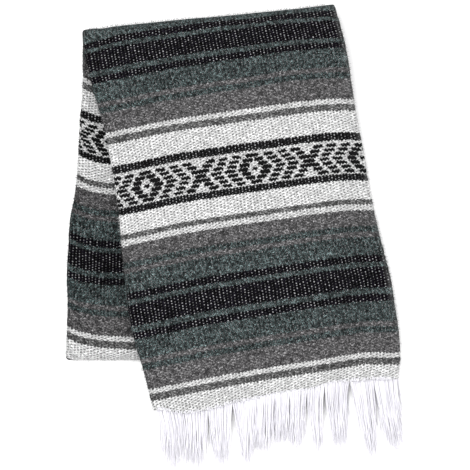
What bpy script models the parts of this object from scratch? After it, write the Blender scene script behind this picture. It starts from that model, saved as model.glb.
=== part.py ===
"""A Mexican serape, folded in quarters across its width and in half twice along its length.

It lies flat on its outer ply, as seen from above: the front run, two strips thick with the
fringed ends, leans to the right over the back run, two strips thick and closed by a clean fold.
Lengths in the tables are millimetres; the model is in metres, +Z up.
"""

import math
from collections import namedtuple

import bmesh
import bpy
from mathutils import Vector
from mathutils.geometry import delaunay_2d_cdt

MM = 0.001

# Cloth: one ply of woven wool, and the four plies of the quarter fold that make one strip
PLY = 2.1 * MM
GAP = 0.3 * MM
PITCH = PLY + GAP
STRIP_PITCH = 4 * PITCH
STRIP = STRIP_PITCH - GAP
PAIR = 2 * PITCH - GAP
WIDTH = 316.0 * MM

# Edge folds: the closed double fold on the left, the single fold of two plies on the right
LEFT_RADIUS = STRIP / 2
RIGHT_RADIUS = PAIR / 2
LEFT_RETURN = 4.0 * MM
RIGHT_RETURN = 6.0 * MM
CORE_RADIUS = LEFT_RADIUS - PLY - GAP

# Levels: the top fold turns about FOLD_PLANE, the bottom fold of the back run about END_PLANE
INNER = 1.35 * MM
FOLD_PLANE = 2 * STRIP_PITCH - INNER
END_PLANE = STRIP_PITCH - GAP / 2
FRONT_OUTER = 2 * STRIP_PITCH - GAP + INNER
BACK_OUTER = FOLD_PLANE
END_OUTER = END_PLANE
BEND_DEPTH = 0.85
AXIS_INSET = 16.2 * MM
END_AXIS_INSET = BEND_DEPTH * END_OUTER

# The front run hangs past the back run on the right and at the hem, and sinks to the floor
DROP = 2 * STRIP_PITCH - GAP
DRAPE_START = 12.0 * MM
DRAPE_REACH = 40.0 * MM

# Rounded end of the hidden layers inside the bottom fold, clear of the tucked edges
LOBE_INSET = 9.4 * MM
LOBE_SQUEEZE = 0.1
LOBE_HEIGHT = 0.9
LOBE_ANGLES = (30, 60)

# Hems: the fringe strips end the cloth, and the lower strip's hem lies further in
HEM_STRIP = 5.0 * MM
HEM_STAGGER = 13.0 * MM

# Behind the top fold: the core narrows, the back panel begins, and the underside has its seam
CORE_START = 1.2 * MM
WRAP_START = 2.0 * MM
SEAM_PAST_FOLD = 14.0 * MM

# Middle of the whole footprint in the outline tables
CENTRE = Vector((2.3 * MM, 0.6 * MM))

# Outlines of the two runs, seen from above, from the top fold down
Outline = namedtuple("Outline", "x y")
FRONT_LEFT = [
    Outline(-190.0, 255.0),
    Outline(-178.8, 192.5),
    Outline(-160.3, 127.5),
    Outline(-146.3, 46.9),
    Outline(-137.5, -41.3),
    Outline(-128.0, -116.3),
    Outline(-112.3, -172.5),
    Outline(-101.0, -220.0),
]
FRONT_RIGHT = [
    Outline(125.0, 287.5),
    Outline(138.8, 237.5),
    Outline(151.9, 157.5),
    Outline(163.4, 95.0),
    Outline(178.8, 14.4),
    Outline(195.0, -48.8),
    Outline(205.5, -118.1),
    Outline(207.5, -160.0),
    Outline(205.0, -180.0),
]
BACK_LEFT = [
    Outline(-190.0, 255.0),
    Outline(-190.0, 187.5),
    Outline(-193.8, 131.3),
    Outline(-197.1, 68.8),
    Outline(-204.5, 22.5),
    Outline(-208.8, -37.5),
    Outline(-208.7, -108.8),
    Outline(-211.3, -156.9),
]
BACK_RIGHT = [
    Outline(125.0, 287.5),
    Outline(118.0, 140.0),
    Outline(110.0, -10.0),
    Outline(105.0, -156.9),
]

# How far the hem swings from a straight line, across the front run
Swell = namedtuple("Swell", "across rise")
HEM_SWELL = [
    Swell(0.0, 0.0),
    Swell(0.13, -9.0),
    Swell(0.21, -8.0),
    Swell(0.34, -3.0),
    Swell(0.56, 0.0),
    Swell(0.65, 0.5),
    Swell(0.75, 5.0),
    Swell(0.88, 3.5),
    Swell(1.0, 0.0),
]
SWELL_START = 0.72

# Depth of the open edges on the right of a strip, from the innermost ply outwards
SELVEDGE_INSETS = (2.8 * MM, 5.2 * MM, 3.6 * MM, 3.2 * MM)
SELVEDGE_CORNER = 1.4 * MM
SELVEDGE_EASE = 0.25 * MM
SELVEDGE_GROOVE = 3.6 * MM

# Fringe: one row for each tassel, placed along the hem
Tassel = namedtuple("Tassel", "across end drift length spread")
TASSELS = [
    Tassel(0.051, 0.102, 3.8, 64.0, 17.0),
    Tassel(0.153, 0.203, -1.2, 63.0, 27.0),
    Tassel(0.252, 0.301, 3.8, 69.0, 17.0),
    Tassel(0.350, 0.401, 6.2, 77.0, 14.0),
    Tassel(0.452, 0.507, 0.0, 69.0, 21.0),
    Tassel(0.562, 0.605, -2.5, 71.0, 25.0),
    Tassel(0.648, 0.693, 7.5, 80.0, 15.0),
    Tassel(0.738, 0.798, 6.2, 86.0, 19.0),
    Tassel(0.857, 0.910, 3.8, 86.0, 25.0),
    Tassel(0.963, 1.000, 8.8, 82.0, 29.0),
]
STRANDS_ACROSS = 5
LOWER_SHORTENING = 10.0 * MM
UNDER_CLEARANCE = 1.2 * MM
STRAND_INSET = 1.0 * MM
FRONT_SIDE = 0.9

# Rows of strands: their levels where they gather, at their middle and at their tips
Row = namedtuple("Row", "gathered middle tip")
UPPER_ROWS = (Row(6.6 * MM, 5.4 * MM, 2.4 * MM), Row(9.4 * MM, 8.0 * MM, 5.0 * MM))
LOWER_ROWS = (Row(1.9 * MM, 1.6 * MM, 1.3 * MM),)

# Course of a strand: shares of its length, pitch where it gathers, and its half sizes
GATHER_SHARE = 0.28
MIDDLE_SHARE = 0.62
OUTER_SHORTENING = 0.05
GATHER_PITCH = 2.7 * MM
STRAND_HALF_HEIGHT = 0.95 * MM
GATHER_HALF_WIDTH = 1.05 * MM
MIDDLE_HALF_WIDTH = 1.0 * MM
TIP_HALF_WIDTH = 0.5 * MM

COLUMNS = 14
EDGE_COLUMN = 10.0 * MM
ARC_STEPS = 4
FOLD_STEPS = 3
FRONT_STATIONS = 15
BEND_STATIONS = 7
BACK_STATIONS = 6
END_STATIONS = 6
SHARP_ANGLE = 40

SectionPoint = namedtuple("SectionPoint", "across inset height")


def smoothstep(value):
    """Smooth ramp from 0 to 1."""
    value = min(max(value, 0.0), 1.0)
    return value * value * (3.0 - 2.0 * value)


def table_value(rows, position):
    """Reads a table of (position, value) rows with smooth steps between them."""
    for low, high in zip(rows, rows[1:]):
        if position <= high[0]:
            blend = smoothstep((position - low[0]) / (high[0] - low[0]))
            return low[1] + (high[1] - low[1]) * blend
    return rows[-1][1]


def edge_length(outline):
    """Length of an outline in metres."""
    return MM * sum(math.dist(a, b) for a, b in zip(outline, outline[1:]))


def edge_point(outline, distance):
    """Point of a smooth curve through an outline, at a distance along it from the top fold."""
    points = [Vector(row) * MM for row in outline]
    points.insert(0, points[0] * 2 - points[1])
    points.append(points[-1] * 2 - points[-2])
    left = distance
    for index in range(1, len(points) - 2):
        start, end = points[index], points[index + 1]
        span = (end - start).length
        if left <= span or index == len(points) - 3:
            t = left / span
            before, after = points[index - 1], points[index + 2]
            slope_in = (end - before) * (span / ((end - start).length + (start - before).length))
            slope_out = (after - start) * (span / ((after - end).length + (end - start).length))
            return (
                start * (2 * t**3 - 3 * t**2 + 1)
                + slope_in * (t**3 - 2 * t**2 + t)
                + end * (-2 * t**3 + 3 * t**2)
                + slope_out * (t**3 - t**2)
            )
        left -= span
    return points[-2]


def across_run(left_edge, right_edge, along, across, inset):
    """Point between two edges: along is metres down the left edge, inset runs in from an edge."""
    share = along / edge_length(left_edge)
    left = edge_point(left_edge, along)
    right = edge_point(right_edge, share * edge_length(right_edge))
    direction = (right - left).normalized()
    return left.lerp(right, across) + direction * (inset if across < 0.5 else -inset)


def drape_drop(point):
    """How far the front run has sunk where it hangs past the back run."""
    top, bottom = BACK_RIGHT[0], BACK_RIGHT[-1]
    share = (point.y / MM - top.y) / (bottom.y - top.y)
    past_side = point.x - (top.x + (bottom.x - top.x) * share) * MM
    past_end = bottom.y * MM - point.y
    reach = math.hypot(max(past_side, 0.0), max(past_end, 0.0))
    return DROP * smoothstep((reach - DRAPE_START) / DRAPE_REACH)


def front_plan(along, across, inset):
    """Plan position on the front run, with the swing of its hem."""
    point = across_run(FRONT_LEFT, FRONT_RIGHT, along, across, inset)
    share = along / edge_length(FRONT_LEFT)
    swing = smoothstep((share - SWELL_START) / (1.0 - SWELL_START))
    point.y += table_value(HEM_SWELL, across) * MM * swing
    return point


def in_place(plan, z):
    """Plan position and level as a point about the middle of the footprint."""
    return Vector((plan.x - CENTRE.x, plan.y - CENTRE.y, z))


def front_point(point, along):
    """Section point on the front run."""
    plan = front_plan(along, point.across, point.inset)
    return in_place(plan, FOLD_PLANE + point.height - drape_drop(plan))


def back_point(point, along):
    """Section point on the back run, its heights measured down from the fold plane."""
    plan = across_run(BACK_LEFT, BACK_RIGHT, along, point.across, point.inset)
    return in_place(plan, FOLD_PLANE - point.height)


def top_fold_point(point, angle):
    """Section point on the top fold, from 0 on the front run to pi on the back run."""
    front = across_run(FRONT_LEFT, FRONT_RIGHT, AXIS_INSET, point.across, point.inset)
    back = across_run(BACK_LEFT, BACK_RIGHT, AXIS_INSET, point.across, point.inset)
    crease = (Vector(FRONT_RIGHT[0]) - Vector(FRONT_LEFT[0])).normalized()
    outwards = Vector((-crease.y, crease.x))
    plan = front.lerp(back, angle / math.pi)
    plan += outwards * point.height * math.sin(angle) * BEND_DEPTH
    return in_place(plan, FOLD_PLANE + point.height * math.cos(angle))


def end_axis():
    """Distance down the back run at which its bottom fold turns."""
    return edge_length(BACK_LEFT) - END_AXIS_INSET


def end_fold_point(point, angle):
    """Section point on the bottom fold of the back run, from 0 on top to pi underneath."""
    plan = across_run(BACK_LEFT, BACK_RIGHT, end_axis(), point.across, point.inset)
    plan.y -= point.height * math.sin(angle) * BEND_DEPTH
    return in_place(plan, END_PLANE + point.height * math.cos(angle))


def end_run_point(point, along, side):
    """Section point on the flat back run, side 1 above the end plane and -1 below it."""
    plan = across_run(BACK_LEFT, BACK_RIGHT, along, point.across, point.inset)
    return in_place(plan, END_PLANE + side * point.height)


def turn(across, centre_inset, centre_height, radius, start, end, steps):
    """Arc at a run's edge: 0 degrees is up, 90 is outwards, 180 is down."""
    points = []
    for step in range(steps + 1):
        angle = math.radians(start + (end - start) * step / steps)
        inset = centre_inset - radius * math.sin(angle)
        points.append(SectionPoint(across, inset, centre_height + radius * math.cos(angle)))
    return points


def columns(height):
    """Points across a run at one height: one inside each edge, the rest evenly spaced."""
    row = [SectionPoint(index / COLUMNS, 0.0, height) for index in range(1, COLUMNS)]
    return [SectionPoint(0.0, EDGE_COLUMN, height), *row, SectionPoint(1.0, EDGE_COLUMN, height)]


def wall_columns(height):
    """Points across a wall, with one over the tip of each tucked edge."""
    left = SectionPoint(0.0, LEFT_RADIUS + LEFT_RETURN, height)
    right = SectionPoint(1.0, RIGHT_RADIUS + RIGHT_RETURN, height)
    return [left, *columns(height), right]


def wrap_section(outer):
    """Wall of one ply over a strip, wrapped round both its edges and tucked under."""
    left, right = outer - LEFT_RADIUS, outer - RIGHT_RADIUS
    tip_left, tip_right = LEFT_RADIUS + LEFT_RETURN, RIGHT_RADIUS + RIGHT_RETURN
    section = [SectionPoint(0.0, tip_left, outer - STRIP)]
    section += turn(0.0, LEFT_RADIUS, left, LEFT_RADIUS, 180, 0, ARC_STEPS)
    section += wall_columns(outer)
    section += turn(1.0, RIGHT_RADIUS, right, RIGHT_RADIUS, 0, 180, FOLD_STEPS)
    section.append(SectionPoint(1.0, tip_right, outer - PAIR))
    section.append(SectionPoint(1.0, tip_right, outer - PAIR + PLY))
    section += turn(1.0, RIGHT_RADIUS, right, RIGHT_RADIUS - PLY, 180, 0, FOLD_STEPS)
    section += wall_columns(outer - PLY)[::-1]
    section += turn(0.0, LEFT_RADIUS, left, LEFT_RADIUS - PLY, 0, 180, ARC_STEPS)
    section.append(SectionPoint(0.0, tip_left, outer - STRIP + PLY))
    return section


Core = namedtuple("Core", "outer notch fold_top fold_wrapped")
FRONT_CORE = Core(FRONT_OUTER - PITCH, FRONT_OUTER - STRIP_PITCH, INNER + PAIR, False)
TURNED_CORE = Core(BACK_OUTER - PITCH, BACK_OUTER - STRIP_PITCH, INNER + PAIR - PITCH, False)
BACK_CORE = Core(BACK_OUTER - PITCH, BACK_OUTER - STRIP_PITCH - PITCH, INNER + PAIR - PITCH, True)


def core_section(core):
    """Hidden layers: rounded where a ply wraps them, grooved between the plies that show."""
    notch_inset = LEFT_RADIUS + LEFT_RETURN + GAP
    step_inset = RIGHT_RADIUS + RIGHT_RETURN + GAP
    bulge = (core.notch - INNER) / 2
    section = columns(core.outer)[::-1]
    section += turn(0.0, LEFT_RADIUS, core.outer - CORE_RADIUS, CORE_RADIUS, 0, 180, ARC_STEPS)
    section.append(SectionPoint(0.0, notch_inset, core.outer - 2 * CORE_RADIUS))
    section.append(SectionPoint(0.0, notch_inset, core.notch))
    section += turn(0.0, LEFT_RADIUS, INNER + bulge, bulge, 0, 180, ARC_STEPS)
    section += columns(INNER)
    radius = (core.fold_top - INNER) / 2
    fold = turn(1.0, RIGHT_RADIUS, INNER + radius, radius, 180, 0, FOLD_STEPS)
    if core.fold_wrapped:
        fold = [SectionPoint(1.0, step_inset, point.height) for point in fold]
    section += fold
    low = core.fold_top + GAP
    for inset in SELVEDGE_INSETS:
        if inset != SELVEDGE_INSETS[0]:
            section.append(SectionPoint(1.0, inset + SELVEDGE_GROOVE, low - GAP / 2))
        section.append(SectionPoint(1.0, inset + SELVEDGE_CORNER, low + SELVEDGE_EASE))
        section.append(SectionPoint(1.0, inset, low + PLY / 2))
        section.append(SectionPoint(1.0, inset + SELVEDGE_CORNER, low + PLY - SELVEDGE_EASE))
        low += PITCH
    section.append(SectionPoint(1.0, step_inset, low - GAP))
    section.append(SectionPoint(1.0, step_inset, core.outer))
    return section


def blended(first, second, share):
    """Section between two like sections."""
    section = []
    for a, b in zip(first, second):
        inset = a.inset + (b.inset - a.inset) * share
        section.append(SectionPoint(a.across, inset, a.height + (b.height - a.height) * share))
    return section


def flat(point):
    """Section point in its own plane."""
    inset = point.inset if point.across < 0.5 else -point.inset
    return Vector((point.across * WIDTH + inset, point.height))


def cap_triangles(section, inside=(), divides=()):
    """Triangles that fill a section, with points inside it and lines that they keep to."""
    corners = [flat(point) for point in [*section, *inside]]
    loop = list(range(len(section)))
    _, _, faces, sources, _, _ = delaunay_2d_cdt(corners, list(divides), [loop], 1, 1e-7)
    return [[sources[index][0] for index in face] for face in faces]


def loft(rings, first_cap, last_cap):
    """Closed body through rings of points, with the triangles of its two ends."""
    body = bmesh.new()
    made = [[body.verts.new(place) for place in ring] for ring in rings]
    for near, far in zip(made, made[1:]):
        count = min(len(near), len(far))
        for index in range(count):
            after = (index + 1) % count
            body.faces.new((near[index], near[after], far[after], far[index]))
    for cap, ring in ((first_cap, made[0]), (last_cap, made[-1])):
        for triangle in cap:
            body.faces.new([ring[index] for index in triangle])
    bmesh.ops.recalc_face_normals(body, faces=body.faces)
    return body


def split_quads(body):
    """Cuts every quad the same way, so that walls which lie on each other stay parallel."""
    for face in [face for face in body.faces if len(face.verts) == 4]:
        corners = list(face.verts)
        slopes = []
        for first, second in ((0, 2), (1, 3)):
            run = corners[second].co - corners[first].co
            slopes.append(run.x * run.y)
        start = 0 if slopes[0] >= slopes[1] else 1
        bmesh.utils.face_split(face, corners[start], corners[start + 2])


def spread(start, end, count):
    """Evenly spaced values from start to end, both included."""
    return [start + (end - start) * index / count for index in range(count + 1)]


def hem_ends():
    """Where the cloth of the upper and of the lower strip ends, short of their fringe strips."""
    hem = edge_length(FRONT_LEFT) - HEM_STRIP - GAP
    return hem, hem - HEM_STAGGER


def front_stations():
    """Sections down the front run, from the lower strip's hem up to the top fold."""
    return spread(hem_ends()[1], AXIS_INSET, FRONT_STATIONS)


def back_stations():
    """Sections down the back run, from the top fold to the bottom fold."""
    seam = AXIS_INSET + SEAM_PAST_FOLD + GAP
    return [AXIS_INSET + WRAP_START, *spread(seam, end_axis(), BACK_STATIONS)]


def front_panel():
    """Outer ply of the front run, from its hem over the top fold to the underside."""
    wrap = wrap_section(FRONT_OUTER)
    turned = wrap_section(BACK_OUTER)
    stations = [hem_ends()[0], *front_stations()]
    rings = [[front_point(point, along) for point in wrap] for along in stations]
    for angle in spread(0.0, math.pi, BEND_STATIONS + 1)[1:]:
        section = blended(wrap, turned, angle / math.pi)
        rings.append([top_fold_point(point, angle) for point in section])
    rings.append([back_point(point, AXIS_INSET + SEAM_PAST_FOLD) for point in turned])
    cap = cap_triangles(wrap)
    return loft(rings, cap, cap)


def back_panel():
    """Outer ply of the back run: its upper side, the bottom fold and the flat underside."""
    wrap = wrap_section(END_OUTER)
    rings = [[end_run_point(point, along, 1) for point in wrap] for along in back_stations()]
    for angle in spread(0.0, math.pi, END_STATIONS)[1:]:
        rings.append([end_fold_point(point, angle) for point in wrap])
    for along in back_stations()[-2:0:-1]:
        rings.append([end_run_point(point, along, -1) for point in wrap])
    cap = cap_triangles(wrap)
    return loft(rings, cap, cap)


def hidden_layers():
    """The plies inside both runs as one rounded body, bent round the top fold."""
    front, turned, back = core_section(FRONT_CORE), core_section(TURNED_CORE), core_section(BACK_CORE)
    hem, under_hem = hem_ends()
    rings = [[front_point(point, along) for point in front] for along in front_stations()]
    for angle in spread(0.0, math.pi, BEND_STATIONS + 1)[1:]:
        section = blended(front, turned, angle / math.pi)
        rings.append([top_fold_point(point, angle) for point in section])
    for along in [AXIS_INSET + CORE_START, *back_stations()]:
        rings.append([back_point(point, along) for point in back])
    middle = FOLD_PLANE - END_PLANE
    for angle in (math.radians(degrees) for degrees in LOBE_ANGLES):
        reach = (END_OUTER - 2 * PLY) * math.sin(angle) * BEND_DEPTH
        lobe = [
            SectionPoint(
                point.across,
                LOBE_INSET + point.inset * LOBE_SQUEEZE if point.inset else 0.0,
                middle + (point.height - middle) * math.cos(angle) * LOBE_HEIGHT,
            )
            for point in back
        ]
        rings.append([back_point(point, end_axis() + reach) for point in lobe])

    divide = FRONT_CORE.notch
    split_left = COLUMNS + 1 + ARC_STEPS + 1 + 1
    groove = SELVEDGE_INSETS[2] + SELVEDGE_GROOVE
    split_right = max(index for index, point in enumerate(front) if abs(point.inset - groove) < 1e-9)
    inside = columns(divide)
    chain = [split_left, *range(len(front), len(front) + len(inside)), split_right]
    first_cap = cap_triangles(front, inside, list(zip(chain, chain[1:])))
    inside_ring = [front_point(point, under_hem) for point in inside]
    rings[0] += inside_ring
    body = loft(rings, first_cap, cap_triangles(back))

    points = [*front, *inside]
    upper = []
    body.verts.ensure_lookup_table()
    body.faces.ensure_lookup_table()
    ring_size = len(points)
    for face in body.faces:
        indices = [vert.index for vert in face.verts]
        if max(indices) < ring_size and sum(points[i].height for i in indices) / 3 > divide + GAP / 4:
            upper.append(face)
    places = {tuple(rings[0][index]): points[index] for index in range(ring_size)}
    made = bmesh.ops.extrude_face_region(body, geom=upper)
    bmesh.ops.delete(body, geom=upper, context="FACES")
    for vert in (item for item in made["geom"] if isinstance(item, bmesh.types.BMVert)):
        vert.co = front_point(places[min(places, key=lambda place: (Vector(place) - vert.co).length)], hem)
    bmesh.ops.recalc_face_normals(body, faces=body.faces)
    return body


def hem_point(across, height, along):
    """Point of a fringe strip, on the straight lines between the sections of the cloth beside it."""
    first, last = SectionPoint(0.0, LEFT_RADIUS, height), SectionPoint(1.0, RIGHT_RADIUS, height)
    knots = [first, *columns(height), last]
    places = [flat(knot).x for knot in knots]
    place = min(max(across * WIDTH, places[0]), places[-1])
    index = max(i for i in range(len(knots) - 1) if places[i] <= place)
    share = (place - places[index]) / (places[index + 1] - places[index])
    far, near = hem_ends()
    ends = []
    for end in (near, far):
        ends.append(front_point(knots[index], end).lerp(front_point(knots[index + 1], end), share))
    return ends[0].lerp(ends[1], (along - near) / (far - near))


def fringe(hem, low, high, rows, shorter):
    """Strip parted from a hem, with its tassels of strands drawn out of the strip's front face."""
    count = len(TASSELS) * STRANDS_ACROSS
    bounds = [0.0]
    for tassel in TASSELS:
        bounds += spread(bounds[-1], tassel.end, STRANDS_ACROSS)[1:]
    for knot in columns(low):
        place = flat(knot).x / WIDTH
        nearest = min(range(1, count), key=lambda index: abs(bounds[index] - place))
        bounds[nearest] = place
    body = bmesh.new()
    bmesh.ops.create_cube(body, size=1.0)
    for vert in body.verts:
        vert.co = Vector(((vert.co.x + 0.5) * count, vert.co.y + 0.5, (vert.co.z + 0.5) * len(rows)))
    cuts = [(Vector((line, 0, 0)), Vector((1, 0, 0))) for line in range(1, count)]
    cuts += [(Vector((0, 0, line)), Vector((0, 0, 1))) for line in range(1, len(rows))]
    for place, normal in cuts:
        everything = [*body.verts, *body.edges, *body.faces]
        bmesh.ops.bisect_plane(body, geom=everything, plane_co=place, plane_no=normal)
    fronts = {}
    for face in body.faces:
        centre = face.calc_center_median()
        if centre.y > FRONT_SIDE:
            fronts[face] = (int(centre.x), int(centre.z))
    for vert in body.verts:
        height = low + (high - low) * vert.co.z / len(rows)
        vert.co = hem_point(bounds[round(vert.co.x)], height, hem + HEM_STRIP * vert.co.y)
    bmesh.ops.inset_individual(body, faces=list(fronts), thickness=STRAND_INSET)
    for face, (column, level) in fronts.items():
        tassel = TASSELS[column // STRANDS_ACROSS]
        draw_strand(body, face, tassel, column % STRANDS_ACROSS, rows[level], hem, shorter)
    bmesh.ops.recalc_face_normals(body, faces=body.faces)
    return body


def draw_strand(body, face, tassel, column, row, hem, shorter):
    """Extrudes one strand from its cell: gathered below the hem, then spread to its tip."""
    root = front_plan(hem + HEM_STRIP, tassel.across, 0.0) - CENTRE
    length = tassel.length * MM - shorter
    course = Vector((tassel.drift * MM, -length))
    side = Vector((-course.y, course.x)).normalized()
    place = column - (STRANDS_ACROSS - 1) / 2
    centre = face.calc_center_median()
    corners = []
    for vert in face.verts:
        offset = vert.co - centre
        corners.append((vert, math.copysign(1, offset.xy.dot(side)), math.copysign(1, offset.z)))
    tip_pitch = tassel.spread * MM / STRANDS_ACROSS
    tip_share = 1.0 - OUTER_SHORTENING * abs(place)
    steps = (
        (GATHER_SHARE, GATHER_PITCH, row.gathered, GATHER_HALF_WIDTH),
        (MIDDLE_SHARE, (GATHER_PITCH + tip_pitch) / 2, row.middle, MIDDLE_HALF_WIDTH),
        (tip_share, tip_pitch, row.tip, TIP_HALF_WIDTH),
    )
    for share, pitch, level, half_width in steps:
        made = bmesh.ops.extrude_discrete_faces(body, faces=[face])
        new = made["faces"][0]
        plan = root + course * share + side * pitch * place
        moved = []
        for vert, sign_side, sign_up in corners:
            twin = min(new.verts, key=lambda item: (item.co - vert.co).length)
            moved.append((twin, sign_side, sign_up))
        for twin, sign_side, sign_up in moved:
            at = plan + side * half_width * sign_side
            twin.co = Vector((at.x, at.y, level + STRAND_HALF_HEIGHT * sign_up))
        face, corners = new, moved


def front_fringe():
    """Fringe of the upper strip's hem, two strands deep, lying down to the floor."""
    hem = edge_length(FRONT_LEFT) - HEM_STRIP
    return fringe(hem, FRONT_OUTER - STRIP, FRONT_OUTER, UPPER_ROWS, 0.0)


def lower_fringe():
    """Fringe of the lower strip's hem, under the first and further in."""
    hem = edge_length(FRONT_LEFT) - HEM_STRIP - HEM_STAGGER
    return fringe(hem, INNER, INNER + STRIP - UNDER_CLEARANCE, LOWER_ROWS, LOWER_SHORTENING)


Finish = namedtuple("Finish", "red green blue roughness")
GREY_GREEN = Finish(0.075, 0.095, 0.09, 0.95)
WARM_GREY = Finish(0.14, 0.125, 0.145, 0.95)
CHARCOAL = Finish(0.03, 0.03, 0.032, 0.95)
NATURAL_WHITE = Finish(0.82, 0.81, 0.83, 0.9)


def material(name, finish):
    """Plain cloth material of one colour."""
    made = bpy.data.materials.new(name)
    made.use_nodes = True
    shader = made.node_tree.nodes["Principled BSDF"]
    shader.inputs["Base Color"].default_value = (finish.red, finish.green, finish.blue, 1.0)
    shader.inputs["Roughness"].default_value = finish.roughness
    shader.inputs["Metallic"].default_value = 0.0
    return made


def add_piece(name, body, finish, collection):
    """Adds a finished body to the scene as a named object."""
    split_quads(body)
    mesh = bpy.data.meshes.new(name)
    body.to_mesh(mesh)
    body.free()
    mesh.shade_smooth()
    mesh.set_sharp_from_angle(angle=math.radians(SHARP_ANGLE))
    mesh.materials.append(material(name, finish))
    piece = bpy.data.objects.new(name, mesh)
    collection.objects.link(piece)


def main():
    """Builds the folded serape."""
    for item in list(bpy.data.objects):
        bpy.data.objects.remove(item)
    collection = bpy.data.collections.new("serape")
    bpy.context.scene.collection.children.link(collection)
    add_piece("front_panel", front_panel(), GREY_GREEN, collection)
    add_piece("back_panel", back_panel(), WARM_GREY, collection)
    add_piece("hidden_layers", hidden_layers(), CHARCOAL, collection)
    add_piece("front_fringe", front_fringe(), NATURAL_WHITE, collection)
    add_piece("lower_fringe", lower_fringe(), NATURAL_WHITE, collection)


main()
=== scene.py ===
"""A Mexican serape, folded in quarters and laid flat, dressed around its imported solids.

The front run lies on the back run and hangs past it at the right and at the fringed hem.
Each cloth piece is a woven sheet whose UV map holds its own place in the cloth, in millimetres:
across the warp and along the stripes, so that weave, stripes and diamonds follow the folds.
"""

import logging
import math
import random
from collections.abc import Callable, Sequence
from dataclasses import dataclass, field, replace
from enum import Enum
from functools import lru_cache, partialmethod
from typing import Any

import bmesh
import bpy
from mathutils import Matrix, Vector, noise

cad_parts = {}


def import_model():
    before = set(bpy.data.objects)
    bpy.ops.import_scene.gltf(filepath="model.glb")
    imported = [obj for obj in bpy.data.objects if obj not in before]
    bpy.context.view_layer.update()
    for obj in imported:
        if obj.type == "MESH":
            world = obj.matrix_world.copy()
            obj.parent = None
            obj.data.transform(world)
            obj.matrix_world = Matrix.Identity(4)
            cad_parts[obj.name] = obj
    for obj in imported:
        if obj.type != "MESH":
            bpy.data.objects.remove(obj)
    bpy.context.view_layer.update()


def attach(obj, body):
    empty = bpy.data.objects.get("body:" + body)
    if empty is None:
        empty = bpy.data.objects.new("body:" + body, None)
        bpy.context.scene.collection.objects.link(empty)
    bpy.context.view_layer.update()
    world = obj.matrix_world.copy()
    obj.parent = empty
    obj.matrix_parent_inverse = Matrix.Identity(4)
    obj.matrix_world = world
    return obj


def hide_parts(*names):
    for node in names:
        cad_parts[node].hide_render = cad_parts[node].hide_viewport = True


LOG = logging.getLogger("serape")
MM = 0.001
SEED = 7
WELD = 1e-7
CLOTH_MAP = "cloth"
EDGE_HOLD = 12.0 * MM
SLOW_PITCH, QUICK_PITCH = 26.0 * MM, 7.0 * MM
SLOW_EDGE, QUICK_EDGE, EDGE_LOSS = 0.9, 0.7, 0.1

Colour = tuple[float, float, float, float]
Socket = bpy.types.NodeSocket
Body = bmesh.types.BMesh


def grey(level: float) -> Colour:
    """A neutral colour of one level."""
    return (level, level, level, 1.0)


def smooth(value: float) -> float:
    """Smooth ramp from 0 to 1, flat at both ends."""
    value = min(max(value, 0.0), 1.0)
    return value * value * (3.0 - 2.0 * value)


def between(first: float, last: float, share: float) -> float:
    """Value at a share of the way from the first to the last."""
    return first + (last - first) * share


def spread(start: float, end: float, count: int) -> list[float]:
    """Evenly spaced values from start to end.

    Args:
        start: First value.
        end: Last value.
        count: Number of steps between them.

    Returns:
        The count + 1 values.
    """
    return [start + (end - start) * index / count for index in range(count + 1)]


@dataclass(frozen=True)
class Table:
    """A curve through given rows of position and value."""

    rows: tuple[tuple[float, float], ...]
    rounded: bool = False

    def at(self, position: float) -> float:
        """Reads the curve, running on in a straight line past its ends unless it is rounded.

        Args:
            position: Where to read it.

        Returns:
            The value there.
        """
        rows = self.rows
        index = 0
        while index < len(rows) - 2 and position > rows[index + 1][0]:
            index += 1
        (low, first), (high, last) = rows[index], rows[index + 1]
        share = (position - low) / (high - low)
        return between(first, last, smooth(share) if self.rounded else share)


@dataclass(frozen=True)
class Outline:
    """One edge of a run seen from above, from the top fold down, in millimetres."""

    rows: tuple[tuple[float, float], ...]

    @property
    def length(self) -> float:
        """Length of the edge in metres."""
        return MM * sum(math.dist(a, b) for a, b in zip(self.rows, self.rows[1:]))

    @lru_cache(maxsize=None)
    def at(self, distance: float) -> Vector:
        """Point of a smooth curve through the outline.

        Args:
            distance: Metres down the edge from the top fold.

        Returns:
            The point in plan, in metres.
        """
        points = [Vector(row) * MM for row in self.rows]
        points.insert(0, points[0] * 2 - points[1])
        points.append(points[-1] * 2 - points[-2])
        left = distance
        index = 1
        while index < len(points) - 3 and left > (points[index + 1] - points[index]).length:
            left -= (points[index + 1] - points[index]).length
            index += 1
        before, start, end, after = points[index - 1 : index + 3]
        span = (end - start).length
        slope_in = (end - before) * (span / (span + (start - before).length))
        slope_out = (after - start) * (span / (span + (after - end).length))
        t = left / span
        return (
            start * (2 * t**3 - 3 * t**2 + 1)
            + slope_in * (t**3 - 2 * t**2 + t)
            + end * (-2 * t**3 + 3 * t**2)
            + slope_out * (t**3 - t**2)
        )


@dataclass(frozen=True)
class Column:
    """One place across a section: a share of the run's width, moved in from there, and a height."""

    share: float
    inset: float
    height: float
    cloth: float = 0.0


@dataclass(frozen=True)
class Station:
    """One line across a run: its ends, levels, lean where the cloth turns, and stripes."""

    left: Vector
    right: Vector
    base: float
    rise: float
    pattern: Callable[[Column], float]
    lean: Vector = field(default_factory=lambda: Vector((0.0, 0.0)))
    bulge: float = 0.0
    swing: float = 0.0
    drapes: bool = False


Line = tuple[Station, Sequence[Column]]


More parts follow.
